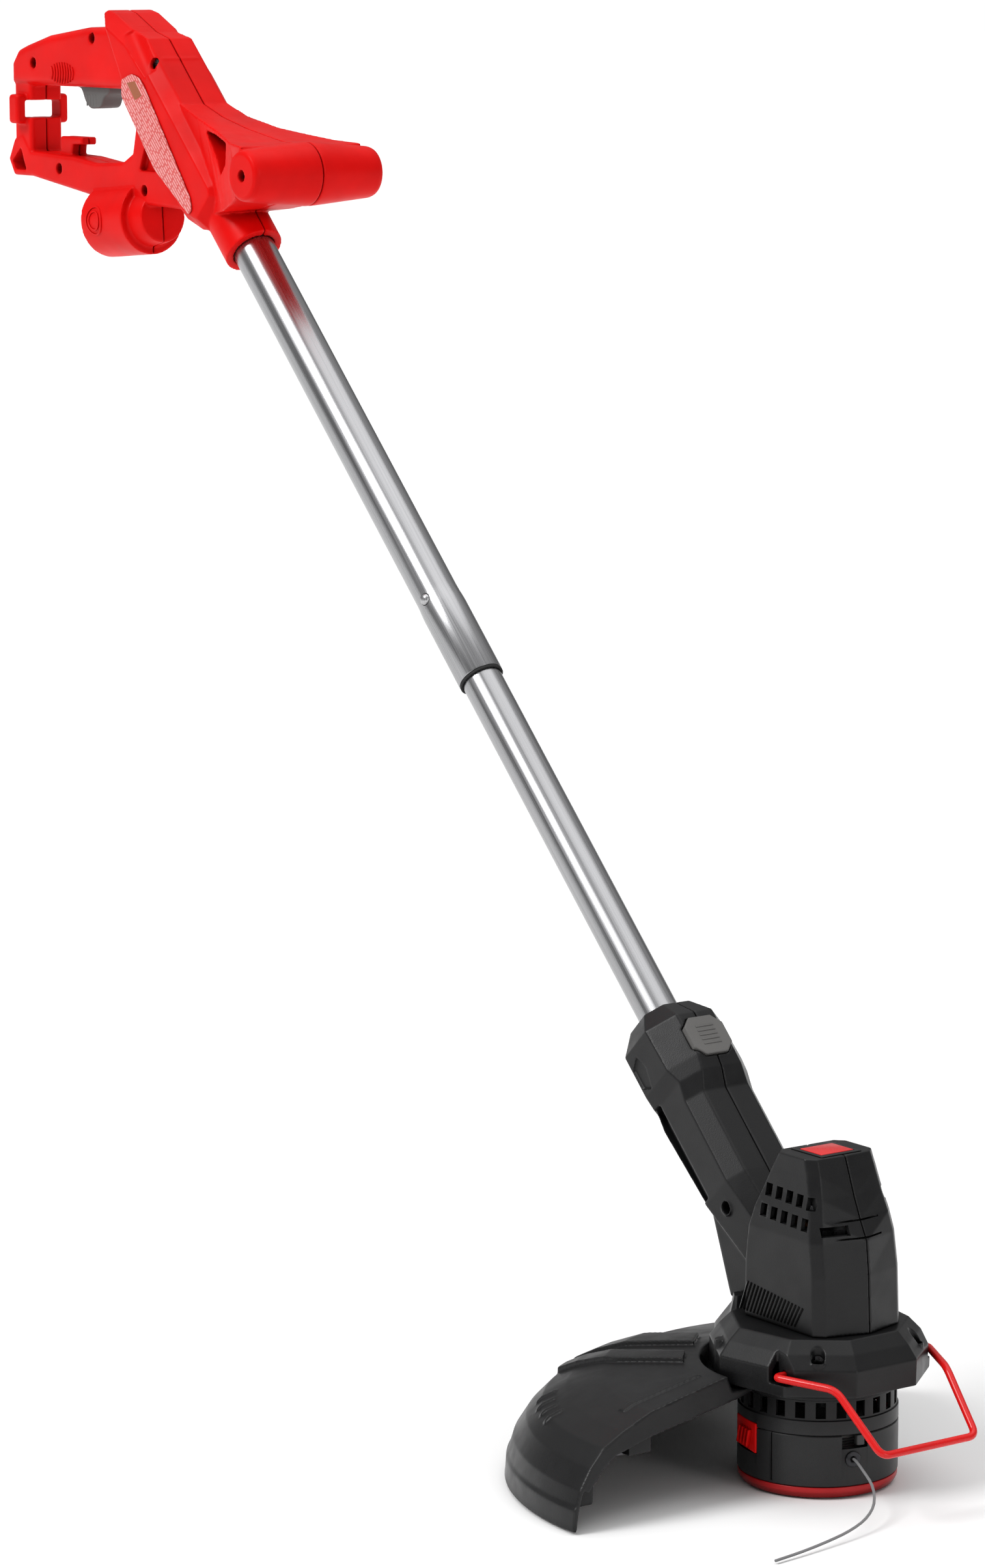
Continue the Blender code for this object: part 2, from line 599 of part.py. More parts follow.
SPINE_OUTLINE = [(-96, 166), (-84, 147), (-66, 100), (-64, 95.5), (-28, 95.5), (-28, 150), (-60, 172)]
SEAM_COLLAR_R = 14.4
BUTTON_T = (165.0, 191.0)
BUTTON_HALF = 14.0
BUTTON_TOP = 31.0
BUTTON_ROOT = 24.0
WELL_FLOOR = 16.6
HEAD_SCREW = (-56, 152)
HEAD_SCREW_TOP = -15.5              # the screw's head is this far to the right of the seam


def motor_section(height, seam_x, corner_x, half_width, rear_x, shrink=0.0):
    s = shrink
    w = half_width - s
    c = 5.0
    front = corner_x - s
    rear = rear_x + s
    return [(seam_x - s, 0, height), (front, w - c, height), (front - c, w, height), (rear + c, w, height),
            (rear, w - c, height), (rear, c - w, height), (rear + c, -w, height), (front - c, -w, height),
            (front, c - w, height)]


def octagon_loft(name, sections, shrink=0.0):
    rings = [octagon(t, w - shrink, low + shrink, high - shrink, chamfer)
             for t, w, low, high, chamfer in sections]
    mesh = loft_mesh(name, rings)
    mesh.transform(SHAFT.matrix_world)
    return mesh


def make_head_housing():
    outer = add("head_whole", octagon_loft("neck", NECK_SECTIONS), None)
    motor = loft_mesh("motor_housing", [motor_section(*row) for row in MOTOR_SECTIONS])
    join(outer, motor, plate_mesh("spine", SPINE_OUTLINE, 15, 3))
    inner_rows = [(min(max(row[0], 95.0), 191.0), *row[1:]) for row in MOTOR_SECTIONS]
    inner_rows[0] = (90.0, *MOTOR_SECTIONS[0][1:])
    cavity = loft_mesh("motor_cavity", [motor_section(*row, shrink=WALL) for row in inner_rows])
    neck_inner = [(150.0, 19.0, -25.5, 22.5, 7.0), (90.0, 19.0, -20.0, 22.0, 7.0), (66.0, 19.0, -16.0, 21.0, 7.0)]
    cut(outer, cavity, octagon_loft("neck_cavity", neck_inner, WALL),
        collar_mesh("collar_bore", SEAM_COLLAR_R, T_LOWER_START + 30, T_COLLAR_TOP + 5),
        button_mesh("button_well", GAP, WELL_FLOOR))
    for side in (-1, 1):
        slot = box_mesh("neck_groove", (-19, side * 25 - 5.5, 92), (-11, side * 25 + 5.5, 158))
        cut(outer, slot, parent=SHAFT)
        for row, height in enumerate((158.5, 169.0)):
            for k in range(5):
                x = -16 + k * 8.6 + row * 1.5
                vent = box_mesh("vent", (x, side * 30 - 6, height), (x + 4.4, side * 30 + 6, height + 5.6))
                cut(outer, vent)
    cut(outer, box_mesh("badge_recess", (-9, -15, 193), (19, 15, 200)))
    x, z = HEAD_SCREW
    face = -NECK_HALF
    join(outer, cylinder_mesh("neck_boss", (x, face + 1, z), (x, NECK_HALF - 1, z), 4.6, 12))
    cut(outer, cylinder_mesh("neck_screw_hole", (x, face - 10, z), (x, HEAD_SCREW_TOP + 2.6, z), 3.4 + GAP, 16),
        cylinder_mesh("neck_shank_hole", (x, face + 5, z), (x, HEAD_SCREW_TOP + 27, z), 1.8 + GAP, 12))
    bake(outer)
    half(outer, "head_right", -1, BLACK_PLASTIC)
    half(outer, "head_left", 1, BLACK_PLASTIC)
    bpy.data.objects.remove(outer)


def button_mesh(name, grow, depth):
    """The octagonal button in the shaft's frame, from its top down to its root in the collar."""
    start, end = BUTTON_T
    middle = (start + end) / 2
    half_length = (end - start) / 2 + grow
    half_width = BUTTON_HALF + grow
    c = 6.0
    ring = [(half_width, half_length - c), (half_width - c, half_length), (c - half_width, half_length),
            (-half_width, half_length - c), (-half_width, c - half_length), (c - half_width, -half_length),
            (half_width - c, -half_length), (half_width, c - half_length)]
    top = BUTTON_TOP + (8 if grow else 0)
    sections = [[(n, y, middle + t) for y, t in ring] for n in (depth, top)]
    mesh = loft_mesh(name, sections)
    mesh.transform(SHAFT.matrix_world)
    return mesh


def make_head_fittings():
    add("push_button", button_mesh("push_button", 0, BUTTON_ROOT), GREY_PLASTIC, origin=shaft_point(178, BUTTON_TOP))
    wire = 0.45
    low = WELL_FLOOR + wire + GAP
    high = BUTTON_ROOT - wire - GAP
    coil = coil_mesh("push_button_spring", shaft_point(178, low), (1, 0, 1), 4.5, wire, high - low, 3)
    add("push_button_spring", coil, SPRING_STEEL)
    add("badge", box_mesh("badge", (-8.5, -14.5, 193 + GAP), (18.5, 14.5, 195.4), 0.4), DARK_RED_PLASTIC)
    x, z = HEAD_SCREW
    screw_piece("head_screw", (x, HEAD_SCREW_TOP, z), (0, 1, 0), 26)


SKIRT_ANGLES = (20, 57, 100, 142)
SKIRT_R = 63.0
SKIRT_LEVELS = [(64.5, 0.995), (80.0, 1.0), (88.0, 0.91), (95.2, 0.80)]
SKIRT_SHOULDER = [[(-72, -20, 73.5), (-40, -44, 73.5), (-40, 44, 73.5), (-72, 20, 73.5)],
                  [(-71, -20, 80), (-40, -44, 80), (-40, 44, 80), (-71, 20, 80)],
                  [(-59, -17, 94.9), (-40, -31, 94.9), (-40, 31, 94.9), (-59, 17, 94.9)]]
SKIRT_PEAK = [[(-58, 15.6, 93), (-38, 15.6, 93), (-38, 31, 93), (-44, 30, 93), (-58, 18.5, 93)],
              [(-54, 15.6, 101.5), (-47, 15.6, 101.5), (-46, 23, 101.5), (-48, 24, 101.5), (-54, 20, 101.5)]]
WIRE_PIVOT = (30.0, 75.5)
WIRE_R = 2.25


def skirt_ring(height, scale, shrink=0.0):
    ring = []
    angles = [*SKIRT_ANGLES, *[-a for a in reversed(SKIRT_ANGLES)]]
    for angle in angles:
        reach = SKIRT_R * scale / math.cos(math.radians(14)) - shrink
        ring.append((reach * math.cos(math.radians(angle)), reach * math.sin(math.radians(angle)), height))
    return ring


def make_skirt():
    skirt = add("skirt", loft_mesh("skirt", [skirt_ring(z, s) for z, s in SKIRT_LEVELS]), BLACK_PLASTIC)
    join(skirt, loft_mesh("skirt_shoulder", SKIRT_SHOULDER))
    for side in (-1, 1):
        join(skirt, loft_mesh("skirt_peak", [[(x, side * y, z) for x, y, z in ring] for ring in SKIRT_PEAK]))
    inner = [skirt_ring(60, 0.995, 4), skirt_ring(78, 1.0, 4), skirt_ring(86, 0.91, 4), skirt_ring(91, 0.84, 4)]
    cavity = loft_mesh("skirt_cavity", inner)
    cut(skirt, cavity, cylinder_mesh("skirt_mouth", (0, 0, 85), (0, 0, 100), 27, 32))
    for side in (-1, 1):
        relief = box_mesh("wire_relief", (24, side * 60 - 10, 71), (41, side * 60 + 10, 89))
        boss = box_mesh("wire_boss", (25, side * 48.5 - 5, 67), (36, side * 48.5 + 5, 82))
        join(skirt, boss)
        hole = cylinder_mesh("wire_hole", (WIRE_PIVOT[0], side * 45, WIRE_PIVOT[1]),
                             (WIRE_PIVOT[0], side * 60, WIRE_PIVOT[1]), WIRE_R + GAP, 16)
        cut(skirt, relief, hole)
        at = guard_screw_place(side)
        join(skirt, cylinder_mesh("guard_boss", (*at, 66), (*at, 86), 4.6, 12))
        cut(skirt, cylinder_mesh("guard_screw_hole", (*at, 60), (*at, 76), 1.8 + GAP, 12))
        at = skirt_screw_place(side)
        join(skirt, cylinder_mesh("skirt_boss", (*at, 66), (*at, 84), 5.2, 12))
        cut(skirt, cylinder_mesh("skirt_screw_pocket", (*at, 75), (*at, 100), 4.0, 16),
            cylinder_mesh("skirt_screw_hole", (*at, 67.5), (*at, 76), 1.8 + GAP, 12))
    bake(skirt)
    for side in (-1, 1):
        screw_piece("skirt_screw_%d" % (1.5 + side / 2), (*skirt_screw_place(side), 77.7), (0, 0, -1), 9)


def skirt_screw_place(side):
    angle = math.radians(side * 40)
    return (56.2 * math.cos(angle), 56.2 * math.sin(angle))


GUARD_SWEEP = (-88.0, -230.0)
GUARD_PROFILE = [(50, 61), (65, 61), (69, 70.5), (96, 65.4), (124.5, 60), (145, 52), (158.6, 45), (167.8, 35.4),
                 (175, 24), (178, 14), (GUARD_R, 0.8)]
GUARD_WALL = 2.6
EDGE_WALL = [(52, 59.7), (66, 59.7), (67.5, 69), (96, 64.5), (124.5, 59), (145, 51), (158.6, 44), (167.8, 34.4),
             (174.5, 24), (170, 22), (160, 33), (150, 40), (124, 46.5), (60, 57)]


def guard_screw_place(side):
    angle = math.radians(-159 + side * 45)
    return (57.5 * math.cos(angle), 57.5 * math.sin(angle))


def make_guard():
    mesh = bpy.data.meshes.new("guard")
    start = math.radians(GUARD_SWEEP[0])
    points = [(r * math.cos(start) * MM, r * math.sin(start) * MM, z * MM) for r, z in GUARD_PROFILE]
    mesh.from_pydata(points, [(i, i + 1) for i in range(len(points) - 1)], [])
    guard = add("guard", mesh, BLACK_PLASTIC)
    screw = guard.modifiers.new("sweep", "SCREW")
    screw.angle = math.radians(GUARD_SWEEP[1] - GUARD_SWEEP[0])
    screw.steps = 22
    screw.render_steps = 22
    skin = guard.modifiers.new("wall", "SOLIDIFY")
    skin.thickness = GUARD_WALL * MM
    skin.offset = 0
    bake(guard)
    turn = Matrix.Rotation(math.radians(-92), 4, "Z")
    edge = plate_mesh("edge_wall", EDGE_WALL, 1.25, 0, -1.25)
    edge.transform(Matrix.Rotation(start, 4, "Z"))
    join(guard, edge, box_mesh("cutter_block", (121, -5.0, 36), (137, 4.0, 55), 0, turn),
         box_mesh("rim_block", (161, -4.0, 12), (172, 4.0, 27), 0, turn))
    for side in (-1, 1):
        at = guard_screw_place(side)
        cut(guard, cylinder_mesh("guard_hole", (*at, 50), (*at, 65), 2.2, 12))
        screw_piece("guard_screw_%d" % (1.5 + side / 2), (*at, 57.0), (0, 0, 1), 17)
    cutter = box_mesh("line_cutter", (119, -6.8, 34), (139, -5.0 - GAP, 52), 0.3, turn)
    add("line_cutter", cutter, SCREW_STEEL)


def make_motor():
    can = [(23, 152), (23, 106), (15.6, 106), (15.6, 152)]
    turned("motor_field", can, SCREW_STEEL, 20, closed=True)
    turned("armature", [(15, 148), (15, 112), (4.3, 112), (4.3, 148)], WINDING, 16, closed=True)
    shaft = [(0, 172), (4, 172), (4, 52), (0, 52)]
    turned("motor_shaft", shaft, SCREW_STEEL, 16)
    for name, low in (("upper_bearing", 156.0), ("lower_bearing", 87.0)):
        ring = [(9.5, low + 7), (9.5, low), (4 + GAP, low), (4 + GAP, low + 7)]
        turned(name, ring, SCREW_STEEL, 16, closed=True)
    fan = turned("cooling_fan", [(9, 103), (9, 97), (4 + GAP, 97), (4 + GAP, 103)], BLACK_PLASTIC, 16, closed=True)
    for k in range(8):
        turn = Matrix.Rotation(math.radians(45 * k), 4, "Z")
        join(fan, box_mesh("fan_blade", (8, -0.8, 97.2), (25, 0.8, 102.8), 0, turn))
    bake(fan)


# ---------------------------------------------------------------- line head

TAB_ANGLES = (-104.0, 76.0)
TAB_HALF = 12.5
TAB_LOW = 22.2
TAB_HIGH = 39.8
EYELET_ANGLE = -14.0
EYELET_Z = 23.4
CAP_TOP = 37.5
HOUSING_TOP = 63.0
WINDOW_COUNT = 24


def about_spindle(angle):
    return Matrix.Rotation(math.radians(angle), 4, "Z")


def make_line_head():
    wall = HEAD_R - 2.8
    cap = [(0, 4.2), (34, 4.2), (34.5, 10.0), (wall, 10.0), (wall, CAP_TOP - GAP / 2), (HEAD_R, CAP_TOP - GAP / 2),
           (HEAD_R, 7.4), (37.0, 7.4), (37.0, 0), (0, 0)]
    cap = turned("spool_cap", cap, BLACK_PLASTIC, 40)
    for angle in TAB_ANGLES:
        cut(cap, box_mesh("tab_opening", (40, -TAB_HALF - GAP, TAB_LOW - 0.4), (50, TAB_HALF + GAP, 45), 0,
                          about_spindle(angle)))
    eyelet_way = about_spindle(EYELET_ANGLE)
    cut(cap, box_mesh("lever_window", (40, -6.6, 29.4), (50, 9.9, 40), 0, eyelet_way))
    hole = cylinder_mesh("eyelet_hole", (40, 0, EYELET_Z), (50, 0, EYELET_Z), 3.2 + GAP / 2, 16)
    hole.transform(eyelet_way)
    bake(cut(cap, hole))
    ring = [(HEAD_R - 0.3, 7.4 - GAP), (HEAD_R - 0.3, 4.0), (44.2, 0.6), (37.0 + GAP, 0.6), (37.0 + GAP, 7.4 - GAP)]
    turned("cap_ring", ring, RED_PLASTIC, 40, closed=True)
    top = [(0, HOUSING_TOP), (44, HOUSING_TOP), (HEAD_R, HOUSING_TOP - 2), (HEAD_R, CAP_TOP + GAP / 2),
           (wall, CAP_TOP + GAP / 2), (wall, 60.4), (10, 60.4), (10, 44), (0, 44)]
    housing = turned("spool_housing", top, BLACK_PLASTIC, 48)
    cut(housing, cylinder_mesh("shaft_bore", (0, 0, 50), (0, 0, 70), 4 + GAP, 20))
    for angle in TAB_ANGLES:
        cut(housing, box_mesh("tab_notch", (40, -TAB_HALF - GAP, 30), (50, TAB_HALF + GAP, TAB_HIGH + 0.4), 0,
                              about_spindle(angle)))
    for k in range(WINDOW_COUNT):
        turn = about_spindle(360 / WINDOW_COUNT * (k + 0.5))
        cut(housing, box_mesh("housing_window", (41, -2.9, 47.6), (50, 2.9, 57.0), 0, turn))
    bake(housing)
    spool = [(6, 35), (38, 35), (38, 33.2), (22, 33.2), (22, 12.8), (38, 12.8), (38, 11), (6, 11)]
    turned("spool", spool, GREY_PLASTIC, 20, closed=True)
    wound = [(34, 33.2 - GAP), (34, 12.8 + GAP), (22 + GAP, 12.8 + GAP), (22 + GAP, 33.2 - GAP)]
    turned("wound_line", wound, LINE_NYLON, 20, closed=True)
    profile = [(5.7, 43.7), (5.7, 4.5), (3, 4.5), (3, 43.7)]
    turned("spool_post", profile, BLACK_PLASTIC, 16, closed=True)
    for number, angle in enumerate(TAB_ANGLES, 1):
        make_release_tab("release_tab_%d" % number, angle)
    lever = box_mesh("feed_lever", (40.6, 3.2, 30.4), (45.4, 8.2, 36.8), 0.4, eyelet_way)
    add("feed_lever", lever, LEVER_PLASTIC)
    make_eyelet_and_line(eyelet_way)


def make_release_tab(name, angle):
    turn = about_spindle(angle)
    tab = add(name, box_mesh(name, (43.6, -TAB_HALF, TAB_LOW), (HEAD_R + 0.4, TAB_HALF, TAB_HIGH), 0.5, turn), RED_PLASTIC)
    for k in range(4):
        y = -6.0 + 4.0 * k
        join(tab, box_mesh("tab_rib", (HEAD_R - 1, y - 0.7, TAB_LOW + 2), (HEAD_R + 1.4, y + 0.7, TAB_HIGH - 4), 0, turn))
    bake(tab)


def make_eyelet_and_line(way):
    eyelet = [(3.2, 4.6), (3.2, 1.2), (4.6, 1.0), (4.6, 0.0), (1.4, 0.0), (1.4, 4.6)]
    piece = turned("line_eyelet", list(reversed(eyelet)), SCREW_STEEL, 16, closed=True)
    bake(piece)
    lay = Matrix.Rotation(math.radians(-90), 4, "Y")
    out = Matrix.Translation(Vector((HEAD_R + 1.3, 0, EYELET_Z)) * MM)
    piece.data.transform(way @ out @ lay)
    bm = bmesh.new()
    bm.from_mesh(piece.data)
    bmesh.ops.recalc_face_normals(bm, faces=bm.faces)
    bm.to_mesh(piece.data)
    bm.free()
    start = way.to_3x3() @ Vector((HEAD_R - 2.0, 0, EYELET_Z))
    straight = way.to_3x3() @ Vector((HEAD_R + 4.0, 0, EYELET_Z))
    points = [start, straight, (58, -15.0, 21.0), (74, -21.0, 16.5), (87, -30.5, 11.0), (96, -44, 7.0),
              (102, -61, 4.5), (106, -80, 3.0), (109.5, -101, 2.0), (112, -122, 1.4)]
    path = smooth_path([Vector(p) for p in points], 3)
    add("cutting_line", tube_mesh("cutting_line", path, 0.825, 1), LINE_NYLON)


def make_wire_guide():
    x, z = WIRE_PIVOT
    right = [(x, -45.8, z), (x, -57.0, z), (65.0, -41.0, 73.5), (98.5, -34.8, 42)]
    path = right + [(px, -py, pz) for px, py, pz in reversed(right)]
    rounded = []
    for index, place in enumerate(path):
        corner = Vector(place)
        if index in (0, len(path) - 1):
            rounded.append(corner)
            continue
        before = (Vector(path[index - 1]) - corner)
        after = (Vector(path[index + 1]) - corner)
        reach = min(5.0, before.length * 0.4, after.length * 0.4)
        enter = corner + before.normalized() * reach
        leave = corner + after.normalized() * reach
        for f in (0.0, 0.33, 0.67, 1.0):
            rounded.append(enter.lerp(corner, f).lerp(corner.lerp(leave, f), f))
    wire = tube_mesh("wire_guide", rounded, WIRE_R, 2)
    add("wire_guide", wire, RED_WIRE, origin=(x, 0, z))


make_shaft()
make_snap_button()
make_handle()
make_handle_fittings()
make_trigger()
make_lead()
make_head_housing()
make_head_fittings()
make_skirt()
make_guard()
make_motor()
make_line_head()
make_wire_guide()
bpy.context.view_layer.update()
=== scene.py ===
"""Looks for the corded string trimmer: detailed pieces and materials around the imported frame.

Everything is in the frame's metres. Lists of numbers below are in millimetres, and MM turns them
into metres. The shaft's own coordinates are (n, y, t): n to its upper front side, t along it.
"""
import json
import math

import bmesh
import bpy
from mathutils import Matrix, Vector


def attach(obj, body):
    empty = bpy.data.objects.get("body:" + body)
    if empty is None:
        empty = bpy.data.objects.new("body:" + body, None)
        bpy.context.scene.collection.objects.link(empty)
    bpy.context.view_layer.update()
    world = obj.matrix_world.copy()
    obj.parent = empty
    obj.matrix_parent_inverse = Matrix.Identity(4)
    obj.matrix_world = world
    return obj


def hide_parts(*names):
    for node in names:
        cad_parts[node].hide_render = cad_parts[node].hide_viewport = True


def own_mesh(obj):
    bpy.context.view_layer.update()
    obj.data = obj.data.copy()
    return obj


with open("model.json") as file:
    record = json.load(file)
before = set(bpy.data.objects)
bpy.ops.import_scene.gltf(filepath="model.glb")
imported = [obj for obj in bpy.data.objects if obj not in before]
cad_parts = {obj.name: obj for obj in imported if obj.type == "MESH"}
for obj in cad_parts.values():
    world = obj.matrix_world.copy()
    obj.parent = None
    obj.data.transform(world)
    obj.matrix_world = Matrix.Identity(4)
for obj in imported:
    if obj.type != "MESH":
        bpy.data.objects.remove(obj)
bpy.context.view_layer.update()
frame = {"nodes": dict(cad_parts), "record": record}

MM = 0.001
GAP = 0.3       # clearance between separate mouldings


def link(name, data):
    """A new object in the scene."""
    piece = bpy.data.objects.new(name, data)
    bpy.context.scene.collection.objects.link(piece)
    return piece


# ---------------- camera

CAMERA_PLACE = (2.2459, -1.8643, 0.8888)
CAMERA_TURN = 54.0      # degrees about Z
CAMERA_DIP = 9.4        # degrees below the level
LENS = 119.6013         # on a sensor 36 mm high

camera_data = bpy.data.cameras.new("camera")
camera_data.sensor_fit = "VERTICAL"
camera_data.sensor_height = 36.0
camera_data.lens = LENS
camera_data.clip_end = 50.0
camera = link("camera", camera_data)
camera.location = CAMERA_PLACE
camera.rotation_euler = (math.radians(90 - CAMERA_DIP), 0, math.radians(CAMERA_TURN))
bpy.context.scene.camera = camera
bpy.context.scene.view_settings.view_transform = "Standard"


# ---------------- shader nodes

def node(tree, kind, links=(), **values):
    """A shader node, with its inputs joined to sockets or set to constants."""
    made = tree.nodes.new(kind)
    for key, value in values.items():
        setattr(made, key, value)
    for socket, source in dict(links).items():
        if isinstance(source, bpy.types.NodeSocket):
            tree.links.new(source, made.inputs[socket])
        else:
            made.inputs[socket].default_value = source
    return made


def noise(tree, place, scale, detail=2.0):
    """Smooth noise about 0.5."""
    settings = {"Vector": place, "Scale": scale, "Detail": detail}
    return node(tree, "ShaderNodeTexNoise", settings).outputs["Fac"]


def shades(tree, factor, low, high):
    """A colour that goes from low to high over the middle of the factor's range."""
    ramp = node(tree, "ShaderNodeValToRGB", {"Fac": factor})
    for element, position, colour in zip(ramp.color_ramp.elements, (0.3, 0.7), (low, high)):
        element.position = position
        element.color = (*colour, 1)
    return ramp.outputs["Color"]


def spread(tree, factor, low, high, start=0.3, stop=0.7, **values):
    """A number between low and high as factor goes from start to stop."""
    ends = {"From Min": start, "From Max": stop, "To Min": low, "To Max": high}
    return node(tree, "ShaderNodeMapRange", {"Value": factor, **ends}, **values).outputs["Result"]


def blend(tree, factor, first, second):
    """Two colours mixed."""
    return node(tree, "ShaderNodeMix", {"Factor": factor, "A": first, "B": second},
                data_type="RGBA").outputs["Result"]


def math_node(tree, operation, *terms):
    """The result of one arithmetic step."""
    return node(tree, "ShaderNodeMath", dict(enumerate(terms)), operation=operation).outputs["Value"]


# ---------------- lights and sky

def make_light(name, place, power, spread_angle, aim=(-0.4, 0, 0.4)):
    """A soft studio light, far enough off to be the same everywhere."""
    data = bpy.data.lights.new(name, "SUN")
    data.energy = power
    data.angle = math.radians(spread_angle)
    lamp = link(name, data)
    lamp.location = place
    lamp.rotation_euler = (Vector(aim) - Vector(place)).to_track_quat("-Z", "Y").to_euler()


make_light("key", (-0.9, -2.2, 2.6), 1.75, 22)
make_light("top", (-0.4, 0.3, 3.0), 0.95, 60)
make_light("side", (2.6, 0.4, 1.2), 0.3, 20, aim=(-0.3, 0, 0.4))

world = bpy.data.worlds.new("studio")
bpy.context.scene.world = world
world.use_nodes = True
sky = world.node_tree
background = sky.nodes["Background"]
sky_way = node(sky, "ShaderNodeTexCoord").outputs["Generated"]
sky_height = node(sky, "ShaderNodeSeparateXYZ", {"Vector": sky_way}).outputs["Z"]
# the dome brightens upwards, and a band at the horizon keeps the far floor's edge white
dome = spread(sky, sky_height, 0.16, 0.55, 0.1, 0.8, interpolation_type="SMOOTHSTEP")
skyline = spread(sky, sky_height, 0.85, 0.0, 0.03, 0.07)
sky.links.new(math_node(sky, "ADD", dome, skyline), background.inputs["Strength"])
background.inputs["Color"].default_value = (1, 1, 1, 1)


# ---------------- materials

def base_material(name):
    """A new material with its tree, its shader and the object's own coordinates."""
    material = bpy.data.materials.new(name)
    material.use_nodes = True
    tree = material.node_tree
    place = node(tree, "ShaderNodeTexCoord").outputs["Object"]
    return material, tree, tree.nodes["Principled BSDF"], place


def add_bump(tree, shader, height, strength, distance):
    """A fine relief in the shading only."""
    bump = node(tree, "ShaderNodeBump", {"Strength": strength, "Distance": distance, "Height": height})
    tree.links.new(bump.outputs["Normal"], shader.inputs["Normal"])


def moulded(name, colour, rough, grain=0.12, wear_and_highlight=0.25, coat=0.0, gloss=0.3):
    """Injection-moulded plastic: fine grain, slight mottling, edges paler from rubbing and from a painted
    highlight, and painted shade in recesses.
    """
    material, tree, shader, place = base_material(name)
    body = shades(tree, noise(tree, place, 23.0, 4.0), [c * 0.90 for c in colour],
                  [min(1.0, c * 1.10) for c in colour])
    # edges are made paler by pointiness: partly real rubbing wear, partly a painted highlight along the rims
    edge = node(tree, "ShaderNodeNewGeometry").outputs["Pointiness"]
    rubbed_and_highlit = [min(1.0, c * 1.25 + 0.03) for c in colour]
    worn_and_highlit = blend(tree, spread(tree, edge, 0.0, wear_and_highlight, 0.52, 0.60), body, (*rubbed_and_highlit, 1))
    # ambient occlusion darkens the colour in recesses, creases and under parts: painted shade
    open_air = node(tree, "ShaderNodeAmbientOcclusion", {"Distance": 0.012}, samples=4).outputs["AO"]
    painted_shade_colour = [c * 0.35 for c in colour]
    colour_with_painted_shade = blend(tree, spread(tree, open_air, 0.0, 1.0, 0.2, 0.8), (*painted_shade_colour, 1), worn_and_highlit)
    tree.links.new(colour_with_painted_shade, shader.inputs["Base Color"])
    # the same occlusion turns the shine down in recesses: painted shade on the reflections
    tree.links.new(spread(tree, open_air, gloss * 0.15, gloss, 0.2, 0.8), shader.inputs["Specular IOR Level"])
    rough_map = spread(tree, noise(tree, place, 71.0, 3.0), rough - 0.05, rough + 0.06)
    tree.links.new(rough_map, shader.inputs["Roughness"])
    add_bump(tree, shader, noise(tree, place, 1500.0, 1.0), grain, 0.0002)
    if coat:
        shader.inputs["Coat Weight"].default_value = coat
        shader.inputs["Coat Roughness"].default_value = 0.18
    return material


def metal(name, colour, rough, axis=None, streak=0.3):
    """Bare metal. With an axis it is drawn or brushed along it, with long fine streaks."""
    material, tree, shader, place = base_material(name)
    shader.inputs["Metallic"].default_value = 1.0
    if axis is None:
        lines = noise(tree, place, 900.0, 2.0)
    else:
        turn = Vector(axis).rotation_difference(Vector((0, 0, 1))).to_euler()
        upright = node(tree, "ShaderNodeMapping", {"Vector": place, "Rotation": turn}).outputs["Vector"]
        streaks = node(tree, "ShaderNodeMapping", {"Vector": upright, "Scale": (900, 900, 9)})
        lines = noise(tree, streaks.outputs["Vector"], 1.0, 3.0)
    tone = shades(tree, lines, [c * 0.86 for c in colour], [min(1, c * 1.08) for c in colour])
    tree.links.new(tone, shader.inputs["Base Color"])
    tree.links.new(spread(tree, lines, rough * 0.85, rough * 1.2), shader.inputs["Roughness"])
    add_bump(tree, shader, lines, streak, 0.00004)
    return material


def distance_along(tree, place, way):
    """How far a place lies along a direction."""
    return node(tree, "ShaderNodeVectorMath", {0: place, 1: way}, operation="DOT_PRODUCT").outputs["Value"]


def label_material(name, across, along):
    """A printed film: a dull red ground with rows of plain paler dashes, no letters."""
    row_pitch = 0.0021
    row_share = 0.52
    cell_length = 0.0026
    material, tree, shader, place = base_material(name)
    row = math_node(tree, "DIVIDE", distance_along(tree, place, across), row_pitch)
    inside = math_node(tree, "LESS_THAN", math_node(tree, "FRACT", row), row_share)
    column = math_node(tree, "DIVIDE", distance_along(tree, place, along), cell_length)
    cell = node(tree, "ShaderNodeCombineXYZ", {"X": column, "Y": math_node(tree, "FLOOR", row)})
    dash = math_node(tree, "GREATER_THAN", noise(tree, cell.outputs["Vector"], 1.0, 0.0), 0.44)
    ground = shades(tree, noise(tree, place, 60.0, 3.0), (0.60, 0.075, 0.07), (0.70, 0.10, 0.095))
    print_tint = blend(tree, math_node(tree, "MULTIPLY", inside, dash), ground, (0.80, 0.34, 0.33, 1))
    tree.links.new(print_tint, shader.inputs["Base Color"])
    tree.links.new(spread(tree, noise(tree, place, 90.0), 0.36, 0.48), shader.inputs["Roughness"])
    add_bump(tree, shader, noise(tree, place, 800.0), 0.1, 0.0001)
    return material


